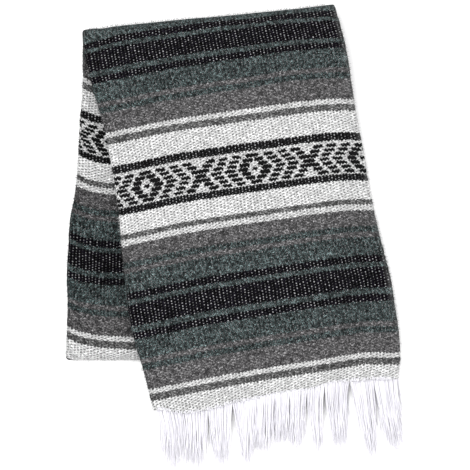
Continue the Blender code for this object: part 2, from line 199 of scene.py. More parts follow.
@dataclass(frozen=True)
class Stack:
    """Sizes of the folded stack, in metres, as in the solids."""

    ply: float = 2.1 * MM
    gap: float = 0.3 * MM
    inner: float = 1.35 * MM
    left_return: float = 4.0 * MM
    right_return: float = 6.0 * MM
    bend_depth: float = 0.85
    axis_inset: float = 16.2 * MM
    drape_start: float = 12.0 * MM
    drape_reach: float = 40.0 * MM
    hem_strip: float = 5.0 * MM
    hem_stagger: float = 13.0 * MM
    seam_past_fold: float = 14.0 * MM
    width: float = 316.0 * MM
    centre: tuple[float, float] = (2.3 * MM, 0.6 * MM)
    swell_start: float = 0.72

    @property
    def pitch(self) -> float:
        """Height of one ply and its gap."""
        return self.ply + self.gap

    @property
    def strip_pitch(self) -> float:
        """Height of a strip of four plies and its gap."""
        return 4 * self.pitch

    @property
    def strip(self) -> float:
        """Height of a strip of four plies."""
        return self.strip_pitch - self.gap

    @property
    def pair(self) -> float:
        """Height of two plies folded together."""
        return 2 * self.pitch - self.gap

    @property
    def left_radius(self) -> float:
        """Radius of the closed double fold at the left."""
        return self.strip / 2

    @property
    def right_radius(self) -> float:
        """Radius of the fold of two plies at the right."""
        return self.pair / 2

    @property
    def fold_plane(self) -> float:
        """Level that the top fold turns about."""
        return 2 * self.strip_pitch - self.inner

    @property
    def end_plane(self) -> float:
        """Level that the bottom fold of the back run turns about."""
        return self.strip_pitch - self.gap / 2

    @property
    def front_outer(self) -> float:
        """Height of the front run's top over the fold plane."""
        return self.drop + self.inner

    @property
    def drop(self) -> float:
        """How far the front run sinks where it lies on the floor."""
        return 2 * self.strip_pitch - self.gap


STACK = Stack()
FRONT_LEFT = Outline((
    (-190.0, 255.0), (-178.8, 192.5), (-160.3, 127.5), (-146.3, 46.9), (-137.5, -41.3),
    (-128.0, -116.3), (-112.3, -172.5), (-101.0, -220.0),
))
FRONT_RIGHT = Outline((
    (125.0, 287.5), (138.8, 237.5), (151.9, 157.5), (163.4, 95.0), (178.8, 14.4), (195.0, -48.8),
    (205.5, -118.1), (207.5, -160.0), (205.0, -180.0),
))
BACK_LEFT = Outline((
    (-190.0, 255.0), (-190.0, 187.5), (-193.8, 131.3), (-197.1, 68.8), (-204.5, 22.5),
    (-208.8, -37.5), (-208.7, -108.8), (-211.3, -156.9),
))
BACK_RIGHT = Outline(((125.0, 287.5), (118.0, 140.0), (110.0, -10.0), (105.0, -156.9)))
HEM_SWELL = Table(
    (
        (0.0, 0.0), (0.13, -9.0), (0.21, -8.0), (0.34, -3.0), (0.56, 0.0), (0.65, 0.5), (0.75, 5.0),
        (0.88, 3.5), (1.0, 0.0),
    ),
    rounded=True,
)

# How much fuller than round the top fold is across its width, in mm
TOP_REACH = Table((
    (0.0, 2.2), (0.03, 2.4), (0.07, 1.2), (0.12, 2.6), (0.43, 2.4), (0.55, 1.2), (0.88, 1.0),
    (1.0, 2.0),
))


class Yarn(Enum):
    """What each band of the stripe plan is woven in."""

    WHITE = "white"
    THIN_WHITE = "thin white"
    GREEN = "green"
    WARM_GREY = "warm grey"
    PLAIN_GREY = "plain grey"
    BLACK = "black"
    BORDER = "border"
    DIAMOND = "diamond"


@dataclass(frozen=True)
class YarnFinish:
    """How a weft yarn looks: its colour, the warp dots in it, the painted shade in the pits between its
    picks, and its grain.
    """

    colour: Colour
    dots: float
    # Share of painted shade that darkens the pits between picks
    pit_shade: float
    grain: float


# Each yarn: colour, warp dots, share of painted shade in the pits, grain
YARN_FINISHES = {
    Yarn.WHITE: YarnFinish(grey(0.53), 0.0, 1.0, 1.6),
    Yarn.THIN_WHITE: YarnFinish(grey(0.48), 0.0, 1.0, 1.5),
    Yarn.GREEN: YarnFinish((0.0178, 0.0234, 0.0235, 1.0), 0.48, 0.45, 7.0),
    Yarn.WARM_GREY: YarnFinish((0.0560, 0.0546, 0.0558, 1.0), 0.20, 0.50, 5.2),
    Yarn.PLAIN_GREY: YarnFinish(grey(0.066), 0.10, 0.35, 5.2),
    Yarn.BLACK: YarnFinish((0.0012, 0.0010, 0.0017, 1.0), 0.80, 0.2, 7.0),
    Yarn.BORDER: YarnFinish((0.0030, 0.0030, 0.0032, 1.0), 0.90, 0.2, 6.0),
    Yarn.DIAMOND: YarnFinish(grey(0.45), 0.0, 1.0, 1.9),
}


@dataclass(frozen=True)
class Band:
    """One band of the stripe plan and its height in millimetres."""

    yarn: Yarn
    height: float


REPEAT = (
    Band(Yarn.DIAMOND, 22.2), Band(Yarn.BORDER, 9.4), Band(Yarn.WHITE, 24.3),
    Band(Yarn.PLAIN_GREY, 6.3), Band(Yarn.THIN_WHITE, 6.9), Band(Yarn.WARM_GREY, 20.3),
    Band(Yarn.GREEN, 7.8), Band(Yarn.WARM_GREY, 6.2), Band(Yarn.GREEN, 25.0), Band(Yarn.BLACK, 8.5),
    Band(Yarn.GREEN, 7.2), Band(Yarn.BLACK, 26.5), Band(Yarn.GREEN, 7.8), Band(Yarn.BLACK, 7.9),
    Band(Yarn.GREEN, 26.5), Band(Yarn.WARM_GREY, 6.3), Band(Yarn.GREEN, 7.8),
    Band(Yarn.WARM_GREY, 25.0), Band(Yarn.THIN_WHITE, 6.9), Band(Yarn.PLAIN_GREY, 8.1),
    Band(Yarn.WHITE, 28.0), Band(Yarn.BORDER, 10.2), Band(Yarn.DIAMOND, 21.4),
)
REPEAT_HEIGHT = sum(band.height for band in REPEAT)


@dataclass(frozen=True)
class Dash:
    """A dark float of the diamond band: its middle and half length in mm, and how bold it is."""

    middle: float
    half: float
    weight: float = 0.76


@dataclass(frozen=True)
class DiamondChart:
    """The diamond repeat, charted: rows of floats from the centre row outwards."""

    pitch: float = 137.5
    centre: float = 39.6
    drop: float = 2.3
    row_pitch: float = 5.6
    half_height: float = 2.5
    taper: float = 3.0
    bleed: float = 1.1
    bow: float = 0.62
    shake: float = 5.0
    shake_scale: float = 0.16
    wave: float = 2.0
    wave_scale: float = 0.12
    fray: float = 0.9
    fray_scale: float = 0.9
    edge: tuple[float, float] = (0.17, 0.37)
    rows: tuple[tuple[Dash, ...], ...] = (
        (Dash(0.0, 3.6), Dash(14.6, 6.4, 1.05), Dash(32.0, 7.0), Dash(49.0, 6.6), Dash(67.8, 7.2, 0.9)),
        (Dash(11.2, 6.2, 1.05), Dash(28.3, 6.8), Dash(45.8, 6.5), Dash(63.6, 6.8, 0.9)),
        (Dash(6.6, 6.4, 0.98), Dash(24.0, 6.8), Dash(41.0, 6.5), Dash(59.4, 6.6, 0.85)),
        (Dash(0.0, 7.8, 0.9), Dash(20.0, 6.4), Dash(37.4, 6.2), Dash(54.2, 6.6, 0.85)),
    )


# How the stripes lie: distance down from the top fold against place in the repeat, in mm
FRONT_STRIPES = Table((
    (0.0, -217.0), (15.6, -199.3), (28.1, -183.4), (59.4, -148.1), (98.6, -107.4), (137.5, -67.7),
    (204.4, 0.0), (485.0, 280.6),
))
BACK_STRIPES = Table((
    (0.0, -133.0), (60.0, -70.6), (100.0, -27.4), (127.8, 2.2), (151.3, 28.2), (176.0, 53.5),
    (200.0, 78.1), (215.0, 93.3), (256.0, 135.1), (281.0, 161.1), (307.0, 187.1), (332.0, 211.1),
    (357.0, 239.0), (382.0, 265.4), (407.0, 292.4), (430.0, 316.1),
))

# How far the stripes of the front run rise above a straight line, across its width, in mm
RISE_ABOVE = Table((
    (0.0, 0.0), (0.25, 7.2), (0.46, 10.8), (0.56, 11.8), (0.66, 13.1), (0.76, 15.2), (0.87, 14.2),
    (0.96, 12.6), (1.0, 10.5),
))
RISE_BELOW = Table((
    (0.0, 0.0), (0.25, 7.4), (0.35, 8.5), (0.46, 9.8), (0.56, 10.5), (0.66, 11.3), (0.76, 12.2),
    (0.87, 12.4), (0.96, 10.5), (1.0, 8.5),
))
RISE_AT_HEM = Table((
    (0.0, 0.3), (0.15, 3.4), (0.25, 5.6), (0.46, 8.6), (0.66, 10.4), (0.76, 11.4), (0.87, 11.6),
    (0.96, 7.8), (1.0, 6.4),
))
RISE_AT_FOLD = Table((
    (0.0, 0.0), (0.12, 5.0), (0.25, 7.0), (0.46, 9.5), (0.56, 10.0), (0.62, 8.6), (0.7, 8.6),
    (0.76, 10.4), (0.87, 9.6), (0.96, 8.6), (1.0, 7.0),
))
RISE_PAST_FOLD = Table((
    (0.0, 0.0), (0.12, 5.0), (0.25, 7.0), (0.46, 9.3), (0.56, 10.2), (0.66, 11.3), (0.76, 11.6),
    (0.87, 10.5), (0.96, 9.2), (1.0, 7.2),
))
RISE_NEAR_FOLD = Table((
    (0.0, 0.0), (0.12, 4.6), (0.25, 7.2), (0.46, 10.0), (0.56, 11.2), (0.66, 12.0), (0.76, 12.9),
    (0.87, 11.9), (0.96, 10.0), (1.0, 8.0),
))
RISES = (
    (8.0, RISE_AT_FOLD),
    (18.0, RISE_PAST_FOLD),
    (41.0, RISE_NEAR_FOLD),
    (56.0, RISE_ABOVE),
    (90.0, RISE_ABOVE),
    (125.0, RISE_BELOW),
    (330.0, RISE_BELOW),
    (450.0, RISE_AT_HEM),
)
HEM_PLACE = 280.0
NO_HEM = 10000.0
BACK_FALL = Table((
    (0.0, 17.5), (230.0, 17.5), (261.0, 18.2), (286.0, 18.0), (312.0, 15.0), (337.0, 13.0),
    (362.0, 14.7), (387.0, 15.0), (412.0, 16.2),
))
BACK_FALL_REACH = 25.0
FOLD_QUARTER = 23.0
REPEATS_UNDER = 3


def front_pattern(distance: float, share: float) -> float:
    """Place in the repeat on the front run.

    Args:
        distance: Millimetres down from the top fold at the left edge.
        share: Share of the way across the run.

    Returns:
        Millimetres in the repeat, with 0 at the middle of the diamond band.
    """
    across = min(max(share, 0.0), 1.0)
    down = min(max(distance, RISES[0][0]), RISES[-1][0])
    rise = Table(tuple((along, table.at(across)) for along, table in RISES)).at(down)
    return FRONT_STRIPES.at(distance + rise)


def back_pattern(distance: float, cloth: float) -> float:
    """Place in the repeat on the back run, whose stripes fall away from its left edge.

    Args:
        distance: Millimetres down from the top fold.
        cloth: Millimetres across from the left edge.

    Returns:
        Millimetres in the repeat.
    """
    fall = BACK_FALL.at(distance) * (1.0 - math.exp(-max(cloth, 0.0) / BACK_FALL_REACH))
    return BACK_STRIPES.at(distance - fall)


class FoldedRuns:
    """The two runs of the folded serape: where any place of the cloth lies."""

    def __init__(self, stack: Stack) -> None:
        """Keeps the sizes of the stack."""
        self.stack = stack

    def edges(self, left: Outline, right: Outline, along: float) -> tuple[Vector, Vector]:
        """Ends of one line across a run.

        Args:
            left: Left edge of the run.
            right: Right edge of the run.
            along: Metres down the left edge.

        Returns:
            The line's left and right points in plan.
        """
        return left.at(along), right.at(along / left.length * right.length)

    def drape(self, plan: Vector) -> float:
        """How far the front run has sunk at a place past the back run."""
        top, bottom = BACK_RIGHT.rows[0], BACK_RIGHT.rows[-1]
        share = (plan.y / MM - top[1]) / (bottom[1] - top[1])
        past_side = plan.x - between(top[0], bottom[0], share) * MM
        past_end = bottom[1] * MM - plan.y
        reach = math.hypot(max(past_side, 0.0), max(past_end, 0.0))
        return self.stack.drop * smooth((reach - self.stack.drape_start) / self.stack.drape_reach)

    def place(self, station: Station, column: Column) -> Vector:
        """Point of the cloth in the row frame.

        Args:
            station: The line across the run.
            column: The place on that line.

        Returns:
            The point in metres.
        """
        direction = (station.right - station.left).normalized()
        plan = station.left.lerp(station.right, column.share) + direction * column.inset
        plan += station.lean * (column.height + TOP_REACH.at(column.share) * MM * station.bulge)
        plan.y += HEM_SWELL.at(column.share) * MM * station.swing
        drop = self.drape(plan) if station.drapes else 0.0
        level = station.base + station.rise * column.height - drop
        return Vector((plan.x - self.stack.centre[0], plan.y - self.stack.centre[1], level))

    def front(self, along: float) -> Station:
        """Line across the front run, along metres down its left edge."""
        left, right = self.edges(FRONT_LEFT, FRONT_RIGHT, along)
        start = self.stack.swell_start
        swing = smooth((along / FRONT_LEFT.length - start) / (1.0 - start))

        def pattern(column: Column) -> float:
            """Place in the repeat, which the swing of the hem leaves as it was."""
            return front_pattern(along / MM - HEM_SWELL.at(column.share) * swing, column.share)

        return Station(left, right, self.stack.fold_plane, 1.0, pattern, swing=swing, drapes=True)

    def top_fold(self, angle: float) -> Station:
        """Line across the top fold, from 0 on the front run to pi on the underside."""
        axis = self.stack.axis_inset
        front = self.edges(FRONT_LEFT, FRONT_RIGHT, axis)
        back = self.edges(BACK_LEFT, BACK_RIGHT, axis)
        crease = (Vector(FRONT_RIGHT.rows[0]) - Vector(FRONT_LEFT.rows[0])).normalized()
        lean = Vector((-crease.y, crease.x)) * math.sin(angle) * self.stack.bend_depth
        share = angle / math.pi
        distance = axis / MM - FOLD_QUARTER * 2 * share
        left, right = front[0].lerp(back[0], share), front[1].lerp(back[1], share)

        def pattern(column: Column) -> float:
            """Place in the repeat at this turn of the fold."""
            return front_pattern(distance, column.share)

        return Station(left, right, self.stack.fold_plane, math.cos(angle), pattern, lean, bulge=1.0)

    def back(self, along: float, base: float, rise: float) -> Station:
        """Line across the back run or the underside.

        Args:
            along: Metres down the back run's left edge.
            base: Level that heights are measured from.
            rise: 1 for the upper side, -1 for the underside.

        Returns:
            The station.
        """
        left, right = self.edges(BACK_LEFT, BACK_RIGHT, along)

        def pattern(column: Column) -> float:
            """Place in the repeat on the side that shows."""
            return back_pattern(along / MM, column.cloth) if rise > 0 else self.under_pattern(along, column)

        return Station(left, right, base, rise, pattern)

    @property
    def end_axis(self) -> float:
        """Distance down the back run at which its bottom fold turns."""
        return BACK_LEFT.length - self.stack.bend_depth * self.stack.end_plane

    def bottom_fold(self, angle: float) -> Station:
        """Line across the bottom fold, from 0 on the upper side to pi underneath."""
        left, right = self.edges(BACK_LEFT, BACK_RIGHT, self.end_axis)
        lean = Vector((0.0, -math.sin(angle) * self.stack.bend_depth))
        distance = (self.end_axis + self.stack.end_plane * angle) / MM

        def pattern(column: Column) -> float:
            """Place in the repeat at this turn of the fold."""
            return back_pattern(distance, column.cloth)

        return Station(left, right, self.stack.end_plane, math.cos(angle), pattern, lean)

    def under_pattern(self, along: float, column: Column) -> float:
        """Place in the repeat on the underside, which joins the top fold's stripes to the bottom fold's."""
        axis = self.stack.axis_inset
        share = (along - axis) / (self.end_axis - axis)
        first = front_pattern(axis / MM - 2 * FOLD_QUARTER, column.share)
        turned = (self.end_axis + self.stack.end_plane * math.pi) / MM
        last = back_pattern(turned, column.cloth) - REPEATS_UNDER * REPEAT_HEIGHT
        return between(first, last, share)


RUNS = FoldedRuns(STACK)


def inwards(share: float) -> float:
    """Which way is inwards from the edge nearest to a place across: 1 from the left, -1 from the right."""
    return 1.0 if share < 0.5 else -1.0


def edge_radius(share: float) -> float:
    """Radius of the rounded edge nearest to a place across."""
    return STACK.left_radius if share < 0.5 else STACK.right_radius


def arc(share: float, inset: float, height: float, radius: float, turn: Sequence[float]) -> list[Column]:
    """Columns round one edge of a run: 0 degrees is up, 90 is outwards, 180 is down.

    Args:
        share: 0 for the left edge, 1 for the right.
        inset: How far in from the edge the arc's centre is.
        height: Height of the arc's centre.
        radius: Radius of the arc.
        turn: First angle, last angle and number of steps.

    Returns:
        The columns, with no place in the cloth yet.
    """
    columns = []
    for degrees in spread(turn[0], turn[1], int(turn[2])):
        angle = math.radians(degrees)
        across = inwards(share) * (inset - radius * math.sin(angle))
        columns.append(Column(share, across, height + radius * math.cos(angle)))
    return columns


def level_columns(height: float, count: int) -> list[Column]:
    """Columns across a run at one height, between the two edge arcs."""
    columns = []
    for share in spread(0.0, 1.0, count):
        inset = STACK.left_radius * (1.0 - share) - STACK.right_radius * share
        columns.append(Column(share, inset, height))
    return columns


def with_cloth(columns: Sequence[Column], start: float) -> list[Column]:
    """Columns again, each with its place in the cloth: the distance round the section.

    Args:
        columns: Columns in order round the section.
        start: Place of the first one, in mm.

    Returns:
        The columns with their places, in mm.
    """
    placed, run = [], start
    before: Vector | None = None
    for column in columns:
        flat = Vector((column.share * STACK.width + column.inset, column.height))
        if before is not None:
            run += (flat - before).length / MM
        before = flat
        placed.append(replace(column, cloth=run))
    return placed


def wrapped_ply(outer: float, count: int) -> list[Column]:
    """One ply over a strip, wrapped round both its edges and tucked under.

    Args:
        outer: Height of the ply's outer side.
        count: Number of steps across.

    Returns:
        Columns round the outer side, left to right, with their places in the cloth.
    """
    left, right = STACK.left_radius, STACK.right_radius
    columns = [Column(0.0, left + STACK.left_return, outer - STACK.strip)]
    columns += arc(0.0, left, outer - left, left, (180, 0, 10))[:-1]
    columns += level_columns(outer, count)
    columns += arc(1.0, right, outer - right, right, (0, 180, 6))[1:]
    columns.append(Column(1.0, -right - STACK.right_return, outer - STACK.pair))
    start = (left - math.pi * left - STACK.left_return) / MM
    return with_cloth(columns, start)


@dataclass(frozen=True)
class Crease:
    """A soft trough or ridge in the lie of the cloth, in mm of plan and height."""

    start: tuple[float, float]
    end: tuple[float, float]
    reach: float
    rise: float

    def at(self, plan: Vector) -> float:
        """Height that it adds at a place in plan, in metres."""
        start, end = Vector(self.start) * MM, Vector(self.end) * MM
        line = end - start
        share = min(max((plan - start).dot(line) / line.length_squared, 0.0), 1.0)
        away = (plan - start - line * share).length / (self.reach * MM)
        ends = math.sin(math.pi * min(max(share, 0.02), 0.98))
        return self.rise * MM * ends * math.exp(-away * away)


CREASES = (
    Crease((-150.0, 150.0), (-20.0, 205.0), 16.0, -0.9),
    Crease((-40.0, 150.0), (120.0, 120.0), 20.0, 0.8),
    Crease((-120.0, 20.0), (60.0, 62.0), 22.0, -0.8),
    Crease((20.0, -10.0), (175.0, -40.0), 18.0, 0.9),
    Crease((-100.0, -70.0), (70.0, -58.0), 20.0, 0.7),
    Crease((-60.0, -150.0), (110.0, -128.0), 15.0, -1.0),
    Crease((-195.0, -60.0), (-150.0, -110.0), 12.0, -0.8),
)
CREASE_FOOT = 6.0 * MM
STRAND_UP = Vector((0.05, 0.03, 1.0))
TIP_SHRINK = 0.25


def settle(point: Vector) -> Vector:
    """A point of the folded stack with the creases of its lie, which fade towards the floor."""
    hold = smooth((point.z - CREASE_FOOT) / (STACK.front_outer - CREASE_FOOT))
    lift = sum(crease.at(point.xy) for crease in CREASES)
    return Vector((point.x, point.y, point.z + lift * hold))


class Graph:
    """A node tree with short calls for adding and linking nodes."""

    def __init__(self, tree: bpy.types.NodeTree) -> None:
        """Keeps the tree that nodes are added to."""
        self.tree = tree

    def feed(self, socket: Socket, value: Any) -> None:
        """Links a socket, or sets a plain value, into an input."""
        if isinstance(value, Socket):
            self.tree.links.new(value, socket)
        else:
            socket.default_value = value

    def add(self, kind: str, feeds: dict[Any, Any] | None = None, **settings: Any) -> bpy.types.Node:
        """Adds a node.

        Args:
            kind: Node type.
            feeds: Inputs by name or number.
            settings: Properties of the node.

        Returns:
            The node.
        """
        node = self.tree.nodes.new(kind)
        for name, value in settings.items():
            setattr(node, name, value)
        for name, value in (feeds or {}).items():
            self.feed(node.inputs[name], value)
        return node

    def math(self, operation: str, *values: Any, clamp: bool = False) -> Socket:
        """Adds a Math node and returns its result."""
        feeds = dict(enumerate(values))
        return self.add("ShaderNodeMath", feeds, operation=operation, use_clamp=clamp).outputs[0]

    plus = partialmethod(math, "ADD")
    minus = partialmethod(math, "SUBTRACT")
    times = partialmethod(math, "MULTIPLY")
    over = partialmethod(math, "DIVIDE")
    power = partialmethod(math, "POWER")
    times_plus = partialmethod(math, "MULTIPLY_ADD")

    def bow(self, value: Any, half: Any) -> Socket:
        """Squares a value's share of a half width."""
        return self.power(self.over(value, half), 2.0)

    def stray(self, value: Any, reach: float, wander: Any) -> Socket:
        """Moves a value by a noise about 0.5, up to half the reach either way."""
        return self.times_plus(self.minus(wander, 0.5), reach, value)

    def blend(self, factor: Any, first: Any, second: Any) -> Socket:
        """Mixes two values and returns the result."""
        return self.add("ShaderNodeMix", {0: factor, 2: first, 3: second}, data_type="FLOAT").outputs[0]

    def tint(self, factor: Any, first: Any, second: Any, mode: str = "MIX") -> Socket:
        """Mixes two colours and returns the result."""
        feeds = {0: factor, 6: first, 7: second}
        return self.add("ShaderNodeMix", feeds, data_type="RGBA", blend_type=mode).outputs[2]

    def span(self, value: Any, low: float, high: float, start: float = 0.0, end: float = 1.0) -> Socket:
        """Maps a range of a value onto another range, clamped."""
        feeds = {0: value, 1: low, 2: high, 3: start, 4: end}
        return self.add("ShaderNodeMapRange", feeds).outputs[0]

    def noise(self, place: Any, scale: float, detail: float = 2.0, seed: float = 0.0) -> Socket:
        """Adds a Noise texture about 0.5 and returns its value."""
        feeds = {"Vector": place, "W": seed, "Scale": scale, "Detail": detail}
        return self.add("ShaderNodeTexNoise", feeds, noise_dimensions="4D").outputs[0]

    def chance(self, x: Any, y: Any, z: Any = 0.0) -> Socket:
        """Random value of a cell."""
        cell = self.vector(x, y, z)
        return self.add("ShaderNodeTexWhiteNoise", {"Vector": cell}, noise_dimensions="3D").outputs[0]

    def vector(self, x: Any, y: Any, z: Any = 0.0) -> Socket:
        """Puts three values together as a vector."""
        return self.add("ShaderNodeCombineXYZ", {0: x, 1: y, 2: z}).outputs[0]

    def parts(self, vector: Any) -> tuple[Socket, ...]:
        """Takes a vector apart."""
        return tuple(self.add("ShaderNodeSeparateXYZ", {0: vector}).outputs)

    def ramp(self, factor: Any, stops: Sequence[tuple[float, Colour]], stepped: bool) -> Socket:
        """Adds a Color Ramp.

        Args:
            factor: Value that reads the ramp.
            stops: Position and colour of each stop, in order.
            stepped: Whether colours change at once at a stop.

        Returns:
            The colour.
        """
        node = self.add("ShaderNodeValToRGB", {0: factor})
        band = node.color_ramp
        band.interpolation = "CONSTANT" if stepped else "LINEAR"
        band.elements.remove(band.elements[1])
        band.elements[0].position = stops[0][0]
        band.elements[0].color = stops[0][1]
        for position, colour in stops[1:]:
            band.elements.new(position).color = colour
        return node.outputs[0]

    def use(self, group: bpy.types.NodeTree, feeds: dict[str, Any]) -> bpy.types.Node:
        """Places a node group and feeds its inputs."""
        node = self.add("ShaderNodeGroup", node_tree=group)
        for name, value in feeds.items():
            self.feed(node.inputs[name], value)
        return node


class Group:
    """A shader node group with named inputs and outputs."""

    def __init__(self, name: str, inputs: dict[str, str], outputs: dict[str, str]) -> None:
        """Makes the group's tree and its sockets.

        Args:
            name: Name of the group.
            inputs: Socket type of each input by name.
            outputs: Socket type of each output by name.
        """
        self.tree = bpy.data.node_groups.new(name, "ShaderNodeTree")
        for socket, kind in inputs.items():
            self.tree.interface.new_socket(socket, in_out="INPUT", socket_type=kind)
        for socket, kind in outputs.items():
            self.tree.interface.new_socket(socket, in_out="OUTPUT", socket_type=kind)
        self.graph = Graph(self.tree)
        self.inputs = self.graph.add("NodeGroupInput").outputs
        self.outputs = self.graph.add("NodeGroupOutput").inputs

    def give(self, **results: Any) -> None:
        """Feeds the group's outputs, named with _ for a space."""
        for name, value in results.items():
            self.graph.feed(self.outputs[name.replace("_", " ")], value)


VECTOR, VALUE, COLOUR = "NodeSocketVector", "NodeSocketFloat", "NodeSocketColor"


@dataclass(frozen=True)
class Weave:
    """Pitches of the plain weave and how far its threads stray, in mm; its marks, as shares of a cell."""

    column: float = 4.2
    row: float = 1.75
    wander: float = 3.0
    wander_scale: float = 0.07
    jog: float = 1.9
    jog_scale: float = 0.45
    scallop: float = 0.62
    fray: float = 1.2
    fray_scale: float = 1.1
    slant: float = 1.2
    dot_width: float = 0.18
    dot_spare: float = 0.24
    dot_length: float = 1.05
    dot_fill: float = 1.15
    dot_height: float = 0.35
    # Size and edge of the painted shade marks in the pits between picks
    pit_width: float = 0.9
    pit_length: float = 0.72
    pit_edge: tuple[float, float] = (-0.1, 0.3)
    sag_depth: float = 0.55


@dataclass(frozen=True)
class Wool:
    """How a yarn's tone varies: the share of each cause and of the painted shade where the yarn sags, their
    scales, and the size of a speck in mm.
    """

    fibre: float = 0.8
    tuft: float = 0.06
    cloud: float = 0.08
    speck: float = 0.72
    # Painted shade: darkening where the warp sags between crossings
    sag: float = -0.30
    middle: float = 0.73
    drawn: float = 0.75
    fibre_scale: float = 1.1
    tuft_scale: float = 0.28
    cloud_scale: float = 0.02
    skew_scale: float = 0.9
    speck_size: float = 1.5
    speck_stray: float = 4.0


WEAVE, WOOL = Weave(), Wool()
RIM_TURN = 0.4
GRAIN_SCALE = 0.1


def weave_group() -> bpy.types.NodeTree:
    """Group that finds the thread crossings of the weave.

    Returns:
        Group from a place in the cloth to the weft row's place, warp dots, the mask of painted shade in the
        pits, the sag mask that also carries painted shade, and height.
    """
    group = Group(
        "weave",
        {"Place": VECTOR},
        dict.fromkeys(("Along", "Across", "Dots", "Pits", "Sag", "Height", "Cell"), VALUE),
    )
    graph = group.graph
    place = group.inputs["Place"]
    x, y, _ = graph.parts(place)
    x = graph.stray(x, WEAVE.wander, graph.noise(place, WEAVE.wander_scale, seed=1.0))
    y = graph.stray(y, WEAVE.wander, graph.noise(place, WEAVE.wander_scale * 2, seed=2.0))
    y = graph.stray(y, WEAVE.jog, graph.noise(place, WEAVE.jog_scale, 1.0, seed=3.0))
    column = graph.over(x, WEAVE.column)
    row = graph.over(y, WEAVE.row)
    column_index, row_index = graph.math("FLOOR", column), graph.math("FLOOR", row)
    across = graph.times_plus(graph.math("FRACT", column), 2.0, -1.0)
    along = graph.times_plus(graph.math("FRACT", row), 2.0, -1.0)
    over = graph.math("FLOORED_MODULO", graph.plus(column_index, row_index), 2.0)
    cell = graph.chance(column_index, row_index)
    width = graph.times_plus(cell, WEAVE.dot_spare, WEAVE.dot_width)
    dot = graph.plus(graph.bow(across, width), graph.bow(along, WEAVE.dot_length))
    dots = graph.times(graph.minus(WEAVE.dot_fill, dot, clamp=True), over)
    slant = graph.times_plus(across, WEAVE.slant, along)
    # Mask of painted shade: dark slanted marks that stand for the shade in the pits between picks
    pit = graph.plus(graph.bow(across, WEAVE.pit_width), graph.bow(slant, WEAVE.pit_length))
    pit_shade = graph.times(graph.span(graph.minus(1.0, pit), *WEAVE.pit_edge), over)
    hump = graph.minus(1.0, graph.power(along, 2.0))
    # Where the warp sags: this lowers the height, and the same mask darkens the colour as painted shade
    sag = graph.times(over, graph.minus(1.0, graph.power(across, 2.0)))
    height = graph.minus(hump, graph.times(sag, WEAVE.sag_depth))
    height = graph.times_plus(dots, WEAVE.dot_height, height)
    bump = graph.math("COSINE", graph.times(column, math.tau))
    scalloped = graph.times_plus(bump, WEAVE.scallop, y)
    edge = graph.stray(scalloped, WEAVE.fray, graph.noise(place, WEAVE.fray_scale, 1.0, seed=12.0))
    group.give(Along=edge, Across=x, Dots=dots, Pits=pit_shade, Sag=sag, Height=height, Cell=cell)
    return group.tree


def stripe_group() -> bpy.types.NodeTree:
    """Group that reads the stripe plan.

    Returns:
        Group from a place along the cloth to the weft's colour, how it is woven, and the share of painted
        shade in its pits.
    """
    group = Group(
        "stripes",
        {"Along": VALUE},
        {"Weft": COLOUR, **dict.fromkeys(("Dot Share", "Pit Share", "Grain", "Diamond", "Middle"), VALUE)},
    )
    graph = group.graph
    turns = graph.over(group.inputs["Along"], REPEAT_HEIGHT)
    share = graph.math("FRACT", turns)
    weft_stops, woven_stops, kind_stops = [], [], []
    start = 0.0
    for band in REPEAT:
        finish = YARN_FINISHES[band.yarn]
        position = start / REPEAT_HEIGHT
        weft_stops.append((position, finish.colour))
        # The second value is the share of painted shade in the pits
        woven_stops.append((position, (finish.dots, finish.pit_shade, finish.grain * GRAIN_SCALE, 1.0)))
        kind_stops.append((position, grey(float(band.yarn is Yarn.DIAMOND))))
        start += band.height
    weft = graph.ramp(share, weft_stops, True)
    dots, pit_shade, grain = graph.parts(graph.ramp(share, woven_stops, True))
    grain = graph.over(grain, GRAIN_SCALE)
    diamond = graph.ramp(share, kind_stops, True)
    whole = graph.math("ROUND", turns)
    middle = graph.times(graph.minus(turns, whole), REPEAT_HEIGHT)
    group.give(Weft=weft, Dot_Share=dots, Pit_Share=pit_shade, Grain=grain, Diamond=diamond, Middle=middle)
    return group.tree


def dash_stops(row: Sequence[Dash], chart: DiamondChart) -> list[tuple[float, Colour]]:
    """Ramp stops of one charted row, from the diamond's centre to halfway to the next.

    Args:
        row: The row's floats.
        chart: The chart that it belongs to.

    Returns:
        Position and level of each stop.
    """
    half = chart.pitch / 2
    stops = [(0.0, grey(row[0].weight if row[0].middle < row[0].half else 0.0))]
    for dash in row:
        low, high = dash.middle - dash.half - chart.bleed, dash.middle + dash.half + chart.bleed
        bold = dash.weight
        corners = ((low, 0.0), (low + chart.taper, bold), (high - chart.taper, bold), (high, 0.0))
        stops += [(at / half, grey(level)) for at, level in corners if 0.0 < at < half]
    return stops


